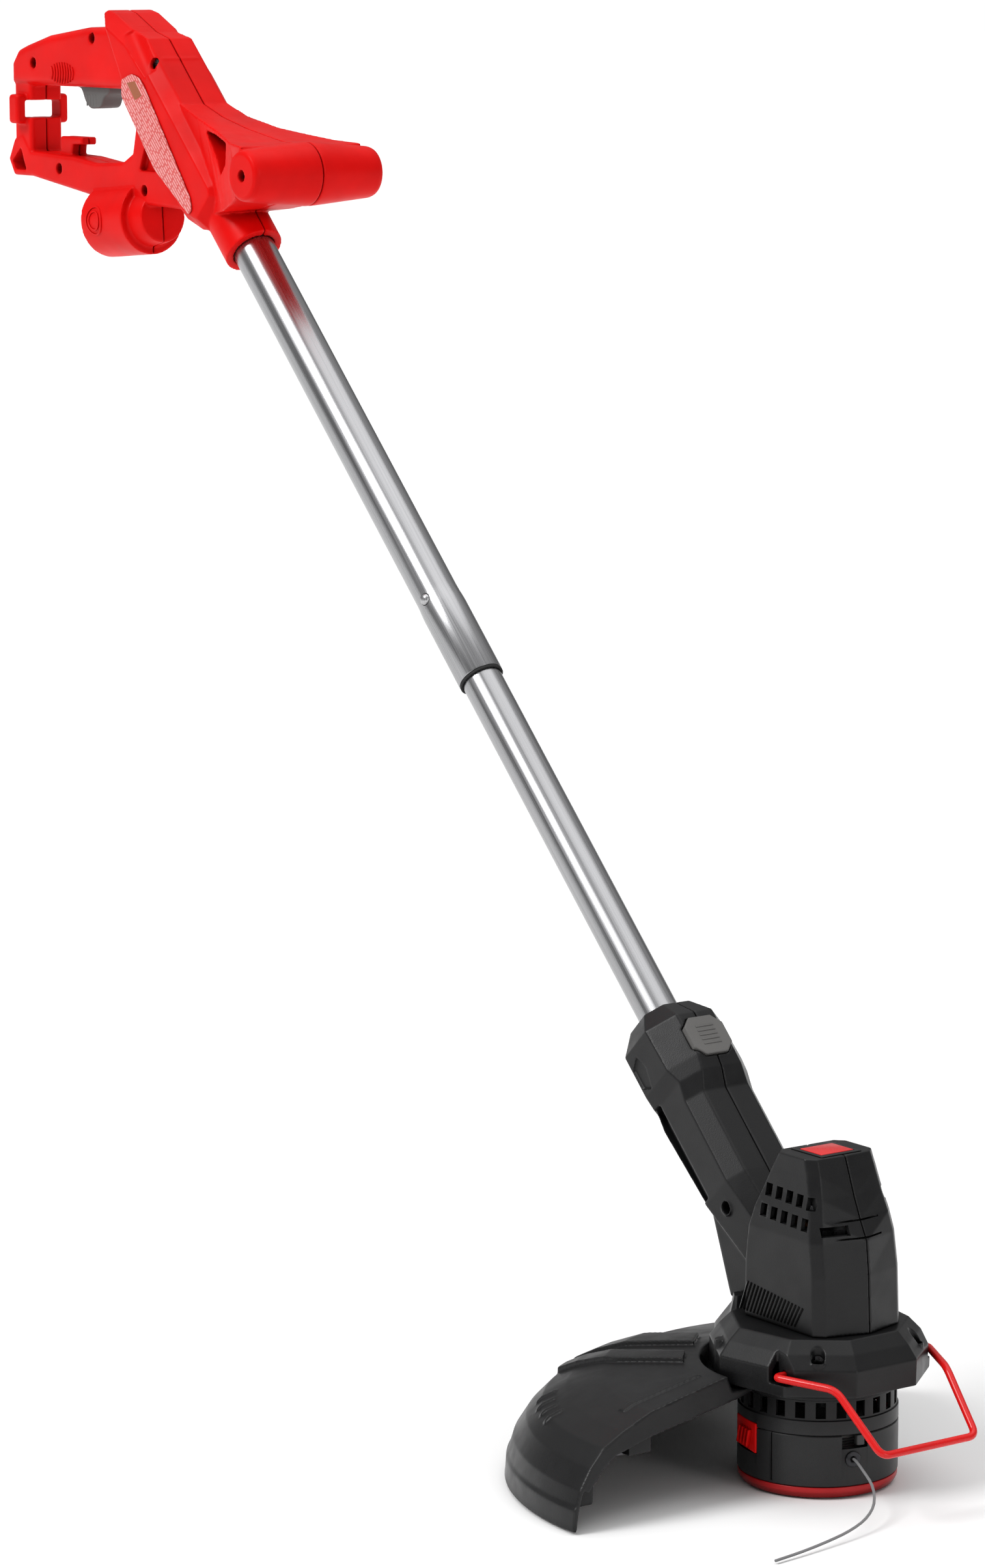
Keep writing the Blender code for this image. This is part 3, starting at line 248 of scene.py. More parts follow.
SHAFT_WAY = (-math.sqrt(0.5), 0, math.sqrt(0.5))
SLOPE_WAY = (math.sqrt(0.5), 0, math.sqrt(0.5))
LOOKS = {
    "red_plastic": moulded("red_plastic", (0.73, 0.004, 0.0035), 0.38, wear_and_highlight=0.15, gloss=0.08),
    "black_plastic": moulded("black_plastic", (0.0085, 0.0085, 0.009), 0.37, grain=0.2, wear_and_highlight=0.5, gloss=0.27),
    "grey_plastic": moulded("grey_plastic", (0.115, 0.112, 0.108), 0.5, grain=0.18),
    "light_grey_plastic": moulded("light_grey_plastic", (0.20, 0.20, 0.195), 0.45),
    "tube_metal": metal("tube_metal", (0.40, 0.40, 0.41), 0.27, SHAFT_WAY, 0.02),
    "screw_steel": metal("screw_steel", (0.10, 0.10, 0.105), 0.32),
    "spring_steel": metal("spring_steel", (0.5, 0.5, 0.51), 0.3),
    "winding": metal("winding", (0.60, 0.26, 0.10), 0.4),
    "contact_brass": metal("contact_brass", (0.70, 0.50, 0.20), 0.28),
    "red_wire": moulded("red_wire", (0.66, 0.006, 0.006), 0.26, grain=0.05, wear_and_highlight=0.1, coat=0.1),
    "line_nylon": moulded("line_nylon", (0.22, 0.22, 0.225), 0.34, grain=0.06, wear_and_highlight=0.0),
    "label": label_material("label", SLOPE_WAY, SHAFT_WAY),
    "rubber": moulded("rubber", (0.018, 0.018, 0.018), 0.75, grain=0.3, wear_and_highlight=0.1),
}
DARK_STEEL = metal("dark_steel", (0.045, 0.045, 0.048), 0.34)
# a darker copy of the black plastic for the motor's hatch ribs: painted shade of the dark gap above the skirt
HATCH_PAINTED_SHADE = moulded("hatch_painted_shade", (0.004, 0.004, 0.004), 0.25, grain=0.02, wear_and_highlight=0.0, gloss=0.12)
PRINT_BROWN = moulded("print_brown", (0.34, 0.10, 0.04), 0.42, grain=0.05, wear_and_highlight=0.0)
LEVER_GREY = moulded("lever_grey", (0.05, 0.05, 0.05), 0.4)
RING_RED = moulded("ring_red", (0.42, 0.010, 0.012), 0.34, wear_and_highlight=0.2)
BADGE_RED = moulded("badge_red", (0.70, 0.012, 0.012), 0.28, grain=0.05, wear_and_highlight=0.1, coat=0.3)


# ---------------- floor

FLOOR_HALF = 30.0
FLOOR_Z = -0.0006       # just under the cap, so that the two don't touch


def make_floor():
    """The matt white ground of the studio."""
    mesh = bpy.data.meshes.new("floor")
    corners = ((-1, -1), (1, -1), (1, 1), (-1, 1))
    mesh.from_pydata([(x * FLOOR_HALF, y * FLOOR_HALF, FLOOR_Z) for x, y in corners], [], [(0, 1, 2, 3)])
    link("floor", mesh)
    look, tree, shader, place = base_material("floor")
    white = shades(tree, noise(tree, place, 3.0), (0.955, 0.955, 0.955), (0.98, 0.98, 0.98))
    tree.links.new(white, shader.inputs["Base Color"])
    shader.inputs["Roughness"].default_value = 0.9
    shader.inputs["Specular IOR Level"].default_value = 0.1
    mesh.materials.append(look)


# ---------------- mesh helpers

ONTO_Y = Matrix.Rotation(math.pi / 2, 4, "X")


def to_mesh(bm, turn=None):
    """A mesh from a bmesh, moved by turn, with its faces outwards."""
    if turn:
        bmesh.ops.transform(bm, matrix=turn, verts=bm.verts)
    bmesh.ops.recalc_face_normals(bm, faces=bm.faces)
    mesh = bpy.data.meshes.new("draft")
    bm.to_mesh(mesh)
    bm.free()
    return mesh


def turn_to(way):
    """The turn that brings Z onto a direction."""
    return Vector((0, 0, 1)).rotation_difference(Vector(way)).to_matrix().to_4x4()


def rod(start, end, radius, end_radius=None, sides=64):
    """A round bar between two places, tapered where it has an end radius."""
    start = Vector(start) * MM
    end = Vector(end) * MM
    far = radius if end_radius is None else end_radius
    place = Matrix.Translation((start + end) / 2) @ turn_to(end - start)
    bm = bmesh.new()
    bmesh.ops.create_cone(bm, cap_ends=True, segments=sides, radius1=radius * MM, radius2=far * MM,
                          depth=(end - start).length, matrix=place)
    return to_mesh(bm)


def block(low, high, turn=None, bevel=0.0, steps=3):
    """A box between two corners, with rounded edges where it has a bevel."""
    low = Vector(low) * MM
    high = Vector(high) * MM
    bm = bmesh.new()
    bmesh.ops.create_cube(bm, size=1.0, matrix=Matrix.Translation((low + high) / 2)
                          @ Matrix.Diagonal((*(high - low), 1.0)))
    if bevel:
        bmesh.ops.bevel(bm, geom=bm.edges[:], offset=bevel * MM, segments=steps, affect="EDGES", profile=0.5)
    return to_mesh(bm, turn)


def loft(sections, turn=None):
    """A solid through sections that have the same number of corners."""
    bm = bmesh.new()
    rings = [[bm.verts.new(Vector(p) * MM) for p in section] for section in sections]
    count = len(rings[0])
    for below, above in zip(rings, rings[1:]):
        for i in range(count):
            j = (i + 1) % count
            bm.faces.new((below[i], below[j], above[j], above[i]))
    bm.faces.new(rings[0])
    bm.faces.new(rings[-1])
    return to_mesh(bm, turn)


def evaluate(piece):
    """A piece's mesh with its modifiers carried out."""
    bpy.context.view_layer.update()
    return bpy.data.meshes.new_from_object(piece.evaluated_get(bpy.context.evaluated_depsgraph_get()))


def add_polyline(curve, places, closed=False):
    """One spline of straight segments through places in metres."""
    spline = curve.splines.new("POLY")
    spline.points.add(len(places) - 1)
    for point, place in zip(spline.points, places):
        point.co = (*place, 1)
    spline.use_cyclic_u = closed


def curve_mesh(curve):
    """A curve's surface as a mesh."""
    draft = link("draft", curve)
    mesh = evaluate(draft)
    bpy.data.objects.remove(draft)
    return mesh


def plate(outline, half_width, bevel=0.0, centre_y=0.0, steps=3):
    """An outline in XZ with a thickness along Y and rounded rims."""
    curve = bpy.data.curves.new("draft", "CURVE")
    curve.dimensions = "2D"
    curve.fill_mode = "BOTH"
    curve.extrude = (half_width - bevel) * MM
    curve.bevel_depth = bevel * MM
    curve.bevel_resolution = steps
    curve.offset = -bevel * MM
    add_polyline(curve, [(x * MM, z * MM, 0) for x, z in outline], closed=True)
    bm = bmesh.new()
    bm.from_mesh(curve_mesh(curve))
    bmesh.ops.remove_doubles(bm, verts=bm.verts, dist=0.01 * MM)
    return to_mesh(bm, Matrix.Translation((0, centre_y * MM, 0)) @ ONTO_Y)


def lathe(profile, sides=128, closed=True, turn=None):
    """A profile of (radius, height) turned about Z. An open profile starts and ends on the axis."""
    bm = bmesh.new()
    rings = []
    angles = [2 * math.pi * k / sides for k in range(sides)]
    for radius, height in profile:
        if radius == 0:
            rings.append([bm.verts.new((0, 0, height * MM))] * sides)
        else:
            rings.append([bm.verts.new((radius * MM * math.cos(a), radius * MM * math.sin(a), height * MM))
                          for a in angles])
    pairs = list(zip(rings, rings[1:]))
    if closed:
        pairs.append((rings[-1], rings[0]))
    for a, b in pairs:
        for k in range(sides):
            m = (k + 1) % sides
            corners = list(dict.fromkeys((a[k], b[k], b[m], a[m])))
            if len(corners) > 2:
                bm.faces.new(corners)
    return to_mesh(bm, turn)


def rounded(profile, radius, steps=3, closed=True, share=0.45):
    """A profile or path with its corners rounded, each over a share of its sides at most."""
    result = []
    count = len(profile)
    for i, corner in enumerate(profile):
        corner = Vector(corner)
        if not closed and i in (0, count - 1):
            result.append(tuple(corner))
            continue
        before = Vector(profile[i - 1]) - corner
        after = Vector(profile[(i + 1) % count]) - corner
        reach = min(radius, before.length * share, after.length * share)
        enter = corner + before.normalized() * reach
        leave = corner + after.normalized() * reach
        for k in range(steps + 1):
            f = k / steps
            result.append(tuple(enter.lerp(corner, f).lerp(corner.lerp(leave, f), f)))
    return result


def merged(*meshes):
    """Several meshes in one, not joined to each other."""
    bm = bmesh.new()
    for mesh in meshes:
        bm.from_mesh(mesh)
    return to_mesh(bm)


def combine(base, joins=(), cuts=(), within=()):
    """Exact booleans: joins are added, then cuts taken away, then only what is within is kept."""
    draft = link("draft", base)
    tools = []
    for operation, group in (("UNION", joins), ("DIFFERENCE", cuts), ("INTERSECT", within)):
        for mesh in group:
            tools.append(link("tool", mesh))
            step = draft.modifiers.new("step", "BOOLEAN")
            step.operation = operation
            step.solver = "EXACT"
            step.object = tools[-1]
    made = evaluate(draft)
    for old in (draft, *tools):
        bpy.data.objects.remove(old)
    return made


MOST_TRIANGLES = 190000


def soften(mesh, voxel, rounds):
    """The same solid as a fine even mesh whose edges are rounded, as a moulding's are."""
    draft = link("draft", mesh)
    grid = draft.modifiers.new("grid", "REMESH")
    grid.mode = "VOXEL"
    grid.voxel_size = voxel * MM
    relax = draft.modifiers.new("relax", "SMOOTH")
    relax.factor = 0.5
    relax.iterations = rounds
    made = evaluate(draft)
    made.calc_loop_triangles()
    count = len(made.loop_triangles)
    if count > MOST_TRIANGLES:
        thin = draft.modifiers.new("thin", "DECIMATE")
        thin.ratio = MOST_TRIANGLES / count
        made = evaluate(draft)
    bpy.data.objects.remove(draft)
    return made


def half_of(mesh, side):
    """The part of a mesh on one side of the seam: -1 is the right shell and +1 the left."""
    far = 1200.0
    low, high = sorted((side * GAP / 2, -side * far))
    return combine(mesh.copy(), cuts=[block((-far, low, -far), (far, high, far))])


def show(name, mesh, body, slot, look=None, node_name=None, angle=35.0):
    """A finished piece: shaded, with its material, riding on its body."""
    mesh.materials.clear()
    mesh.materials.append(look or LOOKS[slot])
    mesh.polygons.foreach_set("use_smooth", [True] * len(mesh.polygons))
    mesh.set_sharp_from_angle(angle=math.radians(angle))
    piece = link(name, mesh)
    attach(piece, body)
    if node_name:
        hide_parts(node_name)
    return piece


def round_curve(name, points, radius, sides):
    """A wire of round section through points."""
    curve = bpy.data.curves.new(name, "CURVE")
    curve.dimensions = "3D"
    curve.bevel_depth = radius * MM
    curve.bevel_resolution = sides
    curve.use_fill_caps = True
    add_polyline(curve, [Vector(place) * MM for place in points])
    return curve


def tube_along(points, radius, sides=5):
    """A round wire through points, as a mesh."""
    return curve_mesh(round_curve("draft", points, radius, sides))


SHAFT_FOOT = 96.0       # where the shaft's axis crosses the spindle's
LEAN = Matrix.Translation((0, 0, SHAFT_FOOT * MM)) @ Matrix.Rotation(-math.radians(45), 4, "Y")


def on_shaft(t):
    """The place on the shaft's axis at a distance along it."""
    return (LEAN @ (Vector((0, 0, t)) * MM)) / MM


def placed(mesh, turn):
    """The mesh itself, moved."""
    mesh.transform(turn)
    return mesh


def about_spindle(angle):
    """A turn about Z in degrees."""
    return Matrix.Rotation(math.radians(angle), 4, "Z")


def polar(radius, angle, z):
    """The place at a radius and an angle in degrees about Z."""
    return (radius * math.cos(math.radians(angle)), radius * math.sin(math.radians(angle)), z)


SCREW_HEAD_R = 3.4
SCREW_HEAD_H = 2.4
SCREW_SHANK_R = 1.8
SCREW_PITCH = 1.3
SCREW_POINT = 1.6


def screw(name, head_at, direction, length, body):
    """A pan-head screw with a cross recess and a threaded shank."""
    r = SCREW_HEAD_R
    head = [(0, 0), (r * 0.55, 0.05), (r * 0.85, 0.45), (r, 1.3), (r, SCREW_HEAD_H - 0.2),
            (r - 0.2, SCREW_HEAD_H), (SCREW_SHANK_R, SCREW_HEAD_H)]
    thread = []
    start = SCREW_HEAD_H + 0.2
    for k in range(int((length - 4.4) / SCREW_PITCH)):
        thread += [(SCREW_SHANK_R, start + k * SCREW_PITCH),
                   (SCREW_SHANK_R * 0.78, start + (k + 0.5) * SCREW_PITCH)]
    point = [(SCREW_SHANK_R * 0.8, length - SCREW_POINT), (0, length)]
    arm = r * 0.62
    cross = [block((-arm, -0.45, -1), (arm, 0.45, 1.25)), block((-0.45, -arm, -1), (0.45, arm, 1.25))]
    mesh = combine(lathe(head + thread + point, 32, closed=False), cuts=cross)
    show(name + "_detail", placed(mesh, Matrix.Translation(Vector(head_at) * MM) @ turn_to(direction)), body,
         "screw_steel", node_name=name)


# ---------------- handle shells

BODY_HALF = 25.0
GRIP_HALF = 15.5
COLUMN_HALF = 12.5
WALL = 2.8
GRIP_LOW = 779.0
BODY_SHOULDER = BODY_HALF - 8.0       # half width where the body's sloped sides begin
BODY_OUTLINE = [(-736, 829), (-731, 831), (-722, 829), (-697, 817), (-682, 813), (-641, 772), (-592, 723),
                (-589, 712), (-609, 691), (-617, 691), (-635, 697), (-708, 771), (-711, 785)]
BODY_FACE = [(-722, 819.5), (-721.3, 820.2), (-720, 819.2), (-700, 809.4), (-686.3, 805.8), (-646.7, 766.3),
             (-599.1, 718.8), (-597.9, 714.2), (-612.4, 699), (-615.7, 699), (-630.4, 703.7), (-700.5, 774.8),
             (-703.2, 787.5)]
BODY_CAVITY = [(-722, 822), (-700, 812), (-684, 806), (-640, 762), (-606, 728), (-621, 710), (-640, 712),
               (-700, 773), (-703, 786)]
GRIP_OUTLINE = [(-861, GRIP_LOW), (-861, 794), (-853, 803), (-843, 806), (-814, 813), (-765, 819),
                (-705, 821), (-705, GRIP_LOW)]
GRIP_CAVITY = [(-846, GRIP_LOW + WALL), (-846, 800), (-814, 809), (-765, 815), (-712, 815), (-699, 806),
               (-698, GRIP_LOW + WALL)]
COLUMN_OUTLINE = [(-861, 738), (-861, 786), (-839, 786), (-839, 728), (-850, 722)]
LOWER_OUTLINE = [(-862, 742), (-870, 728), (-863, 717), (-840, 717), (-767, 707.5), (-708, 704), (-640, 702),
                 (-652, 722), (-698, 770), (-716, 772), (-706, 753), (-710, 737), (-722, 731), (-757, 729),
                 (-785, 732), (-839, 734), (-850, 746)]
LOWER_CAVITY = [(-822, 718.5), (-766, 711), (-712, 707.5), (-668, 706), (-690, 722), (-726, 726.5),
                (-785, 728)]
HANG_HOLE = [(-864, 727), (-860, 721), (-846, 721), (-853, 736)]
HOOK_OUTLINE = [(-812, 727), (-812, 745), (-784, 745), (-784, 740), (-796, 739.5), (-798, 727)]
ARM_ROWS = [  # top edge's x, z and half width, then the lower edge's
    (-648, 774, 18, -608, 702, 17),
    (-618, 763.5, 20, -594, 703, 21),
    (-590, 757, 25, -578, 705, 27),
    (-568, 753.2, 33, -563, 708.4, 33.5),
    (-548, 750, 41, -550, 711, 39),
    (-527, 748.5, 46.5, -536, 715.5, 45),
]
ARM_POCKET = [(-606, 756), (-560, 749), (-564, 736), (-580, 728)]
CUP_POCKET = [(-701, 726), (-693, 744), (-679, 726)]
LABEL_OUTLINE = [(-701, 786), (-689, 790), (-680, 788), (-674, 783), (-619, 712), (-617, 704), (-621, 701),
                 (-662, 729), (-701, 775)]
PRINT_OUTLINE = [(-694, 784), (-684, 785.5), (-676, 776), (-684, 773)]
LABEL_HALF = 0.4
COLLAR_R = 19.5
TUBE_SOCKET_R = 14.2
CUP_REAR = Vector((-757.0, 0, 690.0))
CUP_FRONT = Vector((-706.0, 0, 694.5))
CUP_NOSE = Vector((-692.0, 0, 695.7))
CUP_WAY = (CUP_FRONT - CUP_REAR).normalized()
CUP_R = 24.5
BAR_CENTRE = (-522.0, 730.3)
BAR_HALF = 49.6
BAR_R = 20.5
BAR_END_R = 16.6
BAR_WALL = 3.2
SCOOP = [(-668.0, 29.0, 793.5), (-698.0, 24.0, 821.5)]
SCOOP_R = 9.0
SCREW_PLACES = [(-755, 812), (-831, 794), (-672, 797), (-803, 723.5), (-695, 713), BAR_CENTRE]
SCREW_FACES = (-GRIP_HALF, -GRIP_HALF, -20.4, -COLUMN_HALF, -COLUMN_HALF, -BAR_HALF)
SCREW_TIPS = (8, 8, 8, 8, 8, -30)
SCREW_SEAT = 3.4        # from a face down to a screw's head
BOSS_R = 4.6
SCREW_WELL_R = 3.7
SCREW_HOLE_R = 2.1


def bar_solid(shrink):
    """The auxiliary handle's bar along Y, made smaller all round by shrink."""
    end = BAR_HALF - shrink
    tip = BAR_END_R - shrink
    middle = BAR_R - shrink
    half = [(0, end), (tip - 3.0, end), (tip - 1.0, end - 0.9), (tip, end - 3.6), (middle - 0.3, 5),
            (middle, 0)]
    profile = half + [(r, -z) for r, z in reversed(half[:-1])]
    x, z = BAR_CENTRE
    place = Matrix.Translation(Vector((x, 0, z)) * MM) @ ONTO_Y
    return lathe(profile, 96, closed=False, turn=place)


def arm_solid():
    """The wing from the body to the auxiliary handle, hollowed on its top and lower edges."""
    return loft([[(xt, -t, zt), (xt, t, zt), (xl, w, zl), (xl, -w, zl)] for xt, zt, t, xl, zl, w in ARM_ROWS])


def body_solid():
    """The main body, with its sides sloped in towards two flat faces."""
    sections = ((BODY_FACE, -BODY_HALF), (BODY_OUTLINE, -BODY_SHOULDER), (BODY_OUTLINE, BODY_SHOULDER),
                (BODY_FACE, BODY_HALF))
    return loft([[(x, y, z) for x, z in outline] for outline, y in sections])


def scoop(side, radius):
    """The long round hollow above the body's screw, on one side."""
    ends = [(x, side * y, z) for x, y, z in SCOOP]
    return rod(*ends, radius)


def handle_joins():
    """What is added to the body, from the shaft's collar to the auxiliary handle."""
    return [rod(on_shaft(824), on_shaft(876), COLLAR_R),
            plate(GRIP_OUTLINE, GRIP_HALF, 6.0, steps=4),
            plate(COLUMN_OUTLINE, COLUMN_HALF, 2.5),
            plate(LOWER_OUTLINE, COLUMN_HALF + 0.4, 2.5),
            plate(HOOK_OUTLINE, 6.0, 1.2),
            block((-856.25, -20.5, 752.5), (-843.75, 20.5, 772.5), bevel=2.4),
            rod(CUP_REAR, CUP_FRONT, CUP_R, sides=96),
            rod(CUP_FRONT, CUP_NOSE, COLLAR_R, 17),
            arm_solid(), bar_solid(0)]


def handle_cuts():
    """What is taken away: pockets, scoops, openings and hollows."""
    cuts = []
    for side in (-1, 1):
        cuts += [plate(ARM_POCKET, 20, 0, side * 29), plate(CUP_POCKET, 6, 0, side * 14),
                 scoop(side, SCOOP_R)]
    scoop_walls = [scoop(side, SCOOP_R + WALL + 0.4) for side in (-1, 1)]
    cuts += [block((-900, -14, 756.5), (-800, 14, 768.5)),
             plate(HANG_HOLE, 30),
             combine(plate(BODY_CAVITY, BODY_HALF - WALL - 0.4, 5, steps=1), cuts=scoop_walls),
             plate(GRIP_CAVITY, GRIP_HALF - WALL, 2, steps=0),
             plate(LOWER_CAVITY, COLUMN_HALF - WALL, 0, steps=0),
             block((-793.5, -8.3, 770), (-742, 8.3, 786)),
             rod(on_shaft(819), on_shaft(906), TUBE_SOCKET_R),
             rod(CUP_REAR - CUP_WAY * 5, CUP_FRONT - CUP_WAY * 8, CUP_R - 2.6, sides=96),
             rod(CUP_FRONT - CUP_WAY * 9, CUP_FRONT + CUP_WAY * 4, 15.3),
             bar_solid(BAR_WALL)]
    return cuts


def with_screw_boss(whole, x, z, reach, well, hole):
    """A housing with a boss across it for a screw. Well and hole are each two ends in Y."""
    return combine(whole, [rod((x, -reach, z), (x, reach, z), BOSS_R, sides=24)],
                   [rod((x, well[0], z), (x, well[1], z), SCREW_WELL_R, sides=32),
                    rod((x, hole[0], z), (x, hole[1], z), SCREW_HOLE_R, sides=16)])


def make_handle_shells():
    """The two red shells."""
    whole = combine(body_solid(), handle_joins(), handle_cuts())
    for (x, z), face, tip in zip(SCREW_PLACES, SCREW_FACES, SCREW_TIPS):
        reach = -face - 2 if tip < 0 else min(-face - 2, 14.0)
        whole = with_screw_boss(whole, x, z, reach, (face - 12, face + 6), (face + 5, tip + 1))
    for side, name in ((-1, "handle_right"), (1, "handle_left")):
        show(name + "_shell", soften(half_of(whole, side), 0.8, 4), "handle", "red_plastic", node_name=name)


def make_handle_screws():
    """The six shell screws, sunk in their wells."""
    for number, ((x, z), face, tip) in enumerate(zip(SCREW_PLACES, SCREW_FACES, SCREW_TIPS), 1):
        seat = face + SCREW_SEAT
        screw("handle_screw_%d" % number, (x, seat, z), (0, 1, 0), tip - seat, "handle")


def make_label():
    """The printed film on the right side, and the one solid block of print on it."""
    film_y = -BODY_HALF - GAP - LABEL_HALF
    film = plate(rounded(LABEL_OUTLINE, 2.0), LABEL_HALF, 0.25, film_y)
    show("label_film", film, "handle", "label", node_name="label_plate")
    ink = plate(PRINT_OUTLINE, 0.05, 0, film_y - LABEL_HALF - 0.03)
    show("label_print", ink, "handle", "label", PRINT_BROWN)


def make_grip_ribs():
    """An oval patch of nine wavy ribs on each side of the grip."""
    ribs = []
    for k in range(9):
        x = -806 + 3.3 * k
        tall = 7.0 * math.sqrt(1 - ((k - 4) / 4.9) ** 2)
        for side in (-1, 1):
            y = side * (GRIP_HALF + 0.05)
            path = [(x + 1.6 * math.sin(f * math.pi) - 0.5, y, 788 - tall + 2 * tall * f) for f in
                    (0, 0.17, 0.33, 0.5, 0.67, 0.83, 1)]
            ribs.append(tube_along(path, 0.85, 3))
    show("grip_ribs", merged(*ribs), "handle", "red_plastic")


def make_cup_mark():
    """Two raised rings on each side of the inlet cup, bent to its round wall."""
    centre = CUP_REAR + CUP_WAY * 17
    lay = Matrix.Rotation(-math.atan2(CUP_WAY.z, CUP_WAY.x), 4, "Y") @ ONTO_Y
    rings = []
    for side in (-1, 1):
        shift = Matrix.Translation((centre + Vector((0, side * (CUP_R - 0.25), 0))) * MM)
        for radius in (8.8, 5.6):
            section = [(radius, -0.9), (radius + 1.1, -0.9), (radius + 1.1, 0.9), (radius, 0.9)]
            ring = lathe(rounded(section, 0.3, 2), 64, turn=shift @ lay)
            for vertex in ring.vertices:
                across = vertex.co.z / MM - centre.z
                drop = CUP_R - math.sqrt(CUP_R ** 2 - across ** 2)
                vertex.co.y -= side * drop * MM
            rings.append(ring)
    show("cup_mark", merged(*rings), "handle", "red_plastic")


# ---------------- shaft

LOWER_TUBE = [(12.7, 560), (12.7, 92.4), (12.3, 92), (11.5, 92), (11.5, 560)]
UPPER_TUBE = [(13.9, 905), (13.9, 536), (14.0, 532), (14.4, 526), (14.5, 523), (14.5, 470.6), (14.2, 470),
              (12.85, 470), (12.85, 905)]
TUBE_SEAL = [(14.3, 469.7), (14.3, 468.1), (12.85, 468.1), (12.85, 469.7)]
SNAP_T = 531.0
SNAP_WAY = Vector(polar(1.0, -75, 0))
SNAP_TIP = 16.1         # the button's top, out from the shaft's axis


def make_tubes():
    """The two telescoped tubes with the snap button's hole, and the ring where they meet."""
    hole = rod(SNAP_WAY * 6 + Vector((0, 0, SNAP_T)), SNAP_WAY * 20 + Vector((0, 0, SNAP_T)), 3.9, sides=48)
    for profile, name in ((LOWER_TUBE, "lower_tube"), (UPPER_TUBE, "upper_tube")):
        tube = combine(lathe(profile, 128), cuts=[hole.copy()])
        show(name + "_drawn", placed(tube, LEAN), "handle", "tube_metal", node_name=name)
    show("tube_joint_seal", lathe(rounded(TUBE_SEAL, 0.3, 3), 96, turn=LEAN), "handle", "rubber",
         node_name="tube_joint_ring")


def make_snap_button():
    """The domed button on its spring leaf inside the tube."""
    tip = SNAP_TIP
    dome = [(0, tip), (1.6, tip - 0.15), (2.7, tip - 0.6), (3.4, tip - 1.5), (3.6, tip - 2.6), (3.6, 7.6),
            (0, 7.6)]
    place = Matrix.Translation((0, 0, SNAP_T * MM)) @ turn_to(SNAP_WAY)
    aside = Vector((-SNAP_WAY.y, SNAP_WAY.x, 0)) * 3
    corners = ((7, -1), (7, 1), (8, 1), (8, -1))
    leaf = loft([[SNAP_WAY * a + aside * b + Vector((0, 0, t)) for a, b in corners]
                 for t in (SNAP_T - 22, SNAP_T + 8)])
    button = combine(lathe(dome, 48, closed=False, turn=place), [leaf])
    show("snap_button_dome", placed(button, LEAN), "snap_button", "spring_steel", node_name="snap_button")


# ---------------- trigger

def make_trigger():
    """The finger lever on its pin, with four ribs on its right side."""
    x, z = -790.0, 785.0
    outline = [(x - 3, z + 2.5), (x + 3, z + 3.5), (-746, 787), (-744, 783), (-746, 775), (-752, 773),
               (-756, 765.5), (-770, 764.5), (-776, 769), (-781, 778), (x - 3, 780)]
    lever = combine(plate(rounded(outline, 3.0, 4), 8.0, 1.4), cuts=[rod((x, -20, z), (x, 20, z), 1.8)])
    ribs = []
    for k in range(4):
        rib_x = -774 + 3.6 * k
        ribs.append(block((rib_x, -8.15, 766.5), (rib_x + 1.3, -7.6, 774), bevel=0.2, steps=1))
    show("trigger_lever", merged(lever, *ribs), "trigger", "grey_plastic", node_name="trigger")


# ---------------- motor head

MOTOR_SECTIONS = [  # height, front at the seam, front at the corners, half width, rear
    (95.5, 46, 38.5, 32, -33),
    (129, 44.4, 37, 31.8, -33),
    (149, 42.3, 34, 31.4, -31),
    (161, 36, 31.5, 29.5, -28),
    (173, 30.5, 28, 27, -23),
    (186, 25.5, 24, 25.4, -17),
    (195, 22, 20.5, 24.6, -12),
]
NECK_SECTIONS = [  # distance along the shaft, half width, low, high, chamfer
    (210, 18.5, -18.5, 18.5, 9),
    (196, 28, -28.5, 29, 15),
    (167, 28, -28.5, 30, 15),
    (157, 25.5, -26, 28, 11),
    (146, 25.5, -25.5, 22.5, 9),
    (90, 25.5, -22.5, 22, 9),
    (48, 19, -18.5, 20, 7),
]


HEAD_SCREW_PLACE = (-56, 152)
HEAD_SPINE = [(-96, 166), (-84, 147), (-66, 100), (-64, 95.5), (-28, 95.5), (-28, 150), (-60, 172)]
NECK_CAVITY = [
    (150, 19, -25.5, 22.5, 7),
    (90, 19, -20, 22, 7),
    (66, 19, -16, 21, 7),
]
COLLAR_WEDGE = [(-12, 186), (-4, 190), (-1, 180), (-5, 168), (-12, 172)]
BUTTON_T = 178.0
BUTTON_TOP = 31.0


def chamfered(low, high, half_width, chamfer):
    """An oblong with its corners cut off, as eight (across, along) pairs."""
    half = [(high, half_width - chamfer), (high - chamfer, half_width), (low + chamfer, half_width),
            (low, half_width - chamfer)]
    return half + [(a, -b) for a, b in reversed(half)]


def motor_solid(rows, s=0.0):
    """The motor's housing, made smaller all round by s. Its front comes to an edge at the seam."""
    return loft([[(seam - s, 0, z)] + [(x, y, z) for x, y in chamfered(rear + s, front - s, w - s, 5.0)]
                 for z, seam, front, w, rear in rows])


def neck_solid(rows, s=0.0):
    """The neck along the shaft, made smaller all round by s."""
    return loft([[(n, y, t) for n, y in chamfered(low + s, high - s, w - s, c)]
                 for t, w, low, high, c in rows], LEAN)


def button_solid(grow, low, high):
    """The push button's eight-sided block on the collar, made larger all round by grow."""
    ring = chamfered(-14.0 - grow, 14.0 + grow, 13.0 + grow, 6.0)
    return loft([[(n, y, BUTTON_T + t) for y, t in ring] for n in (low, high)], LEAN)


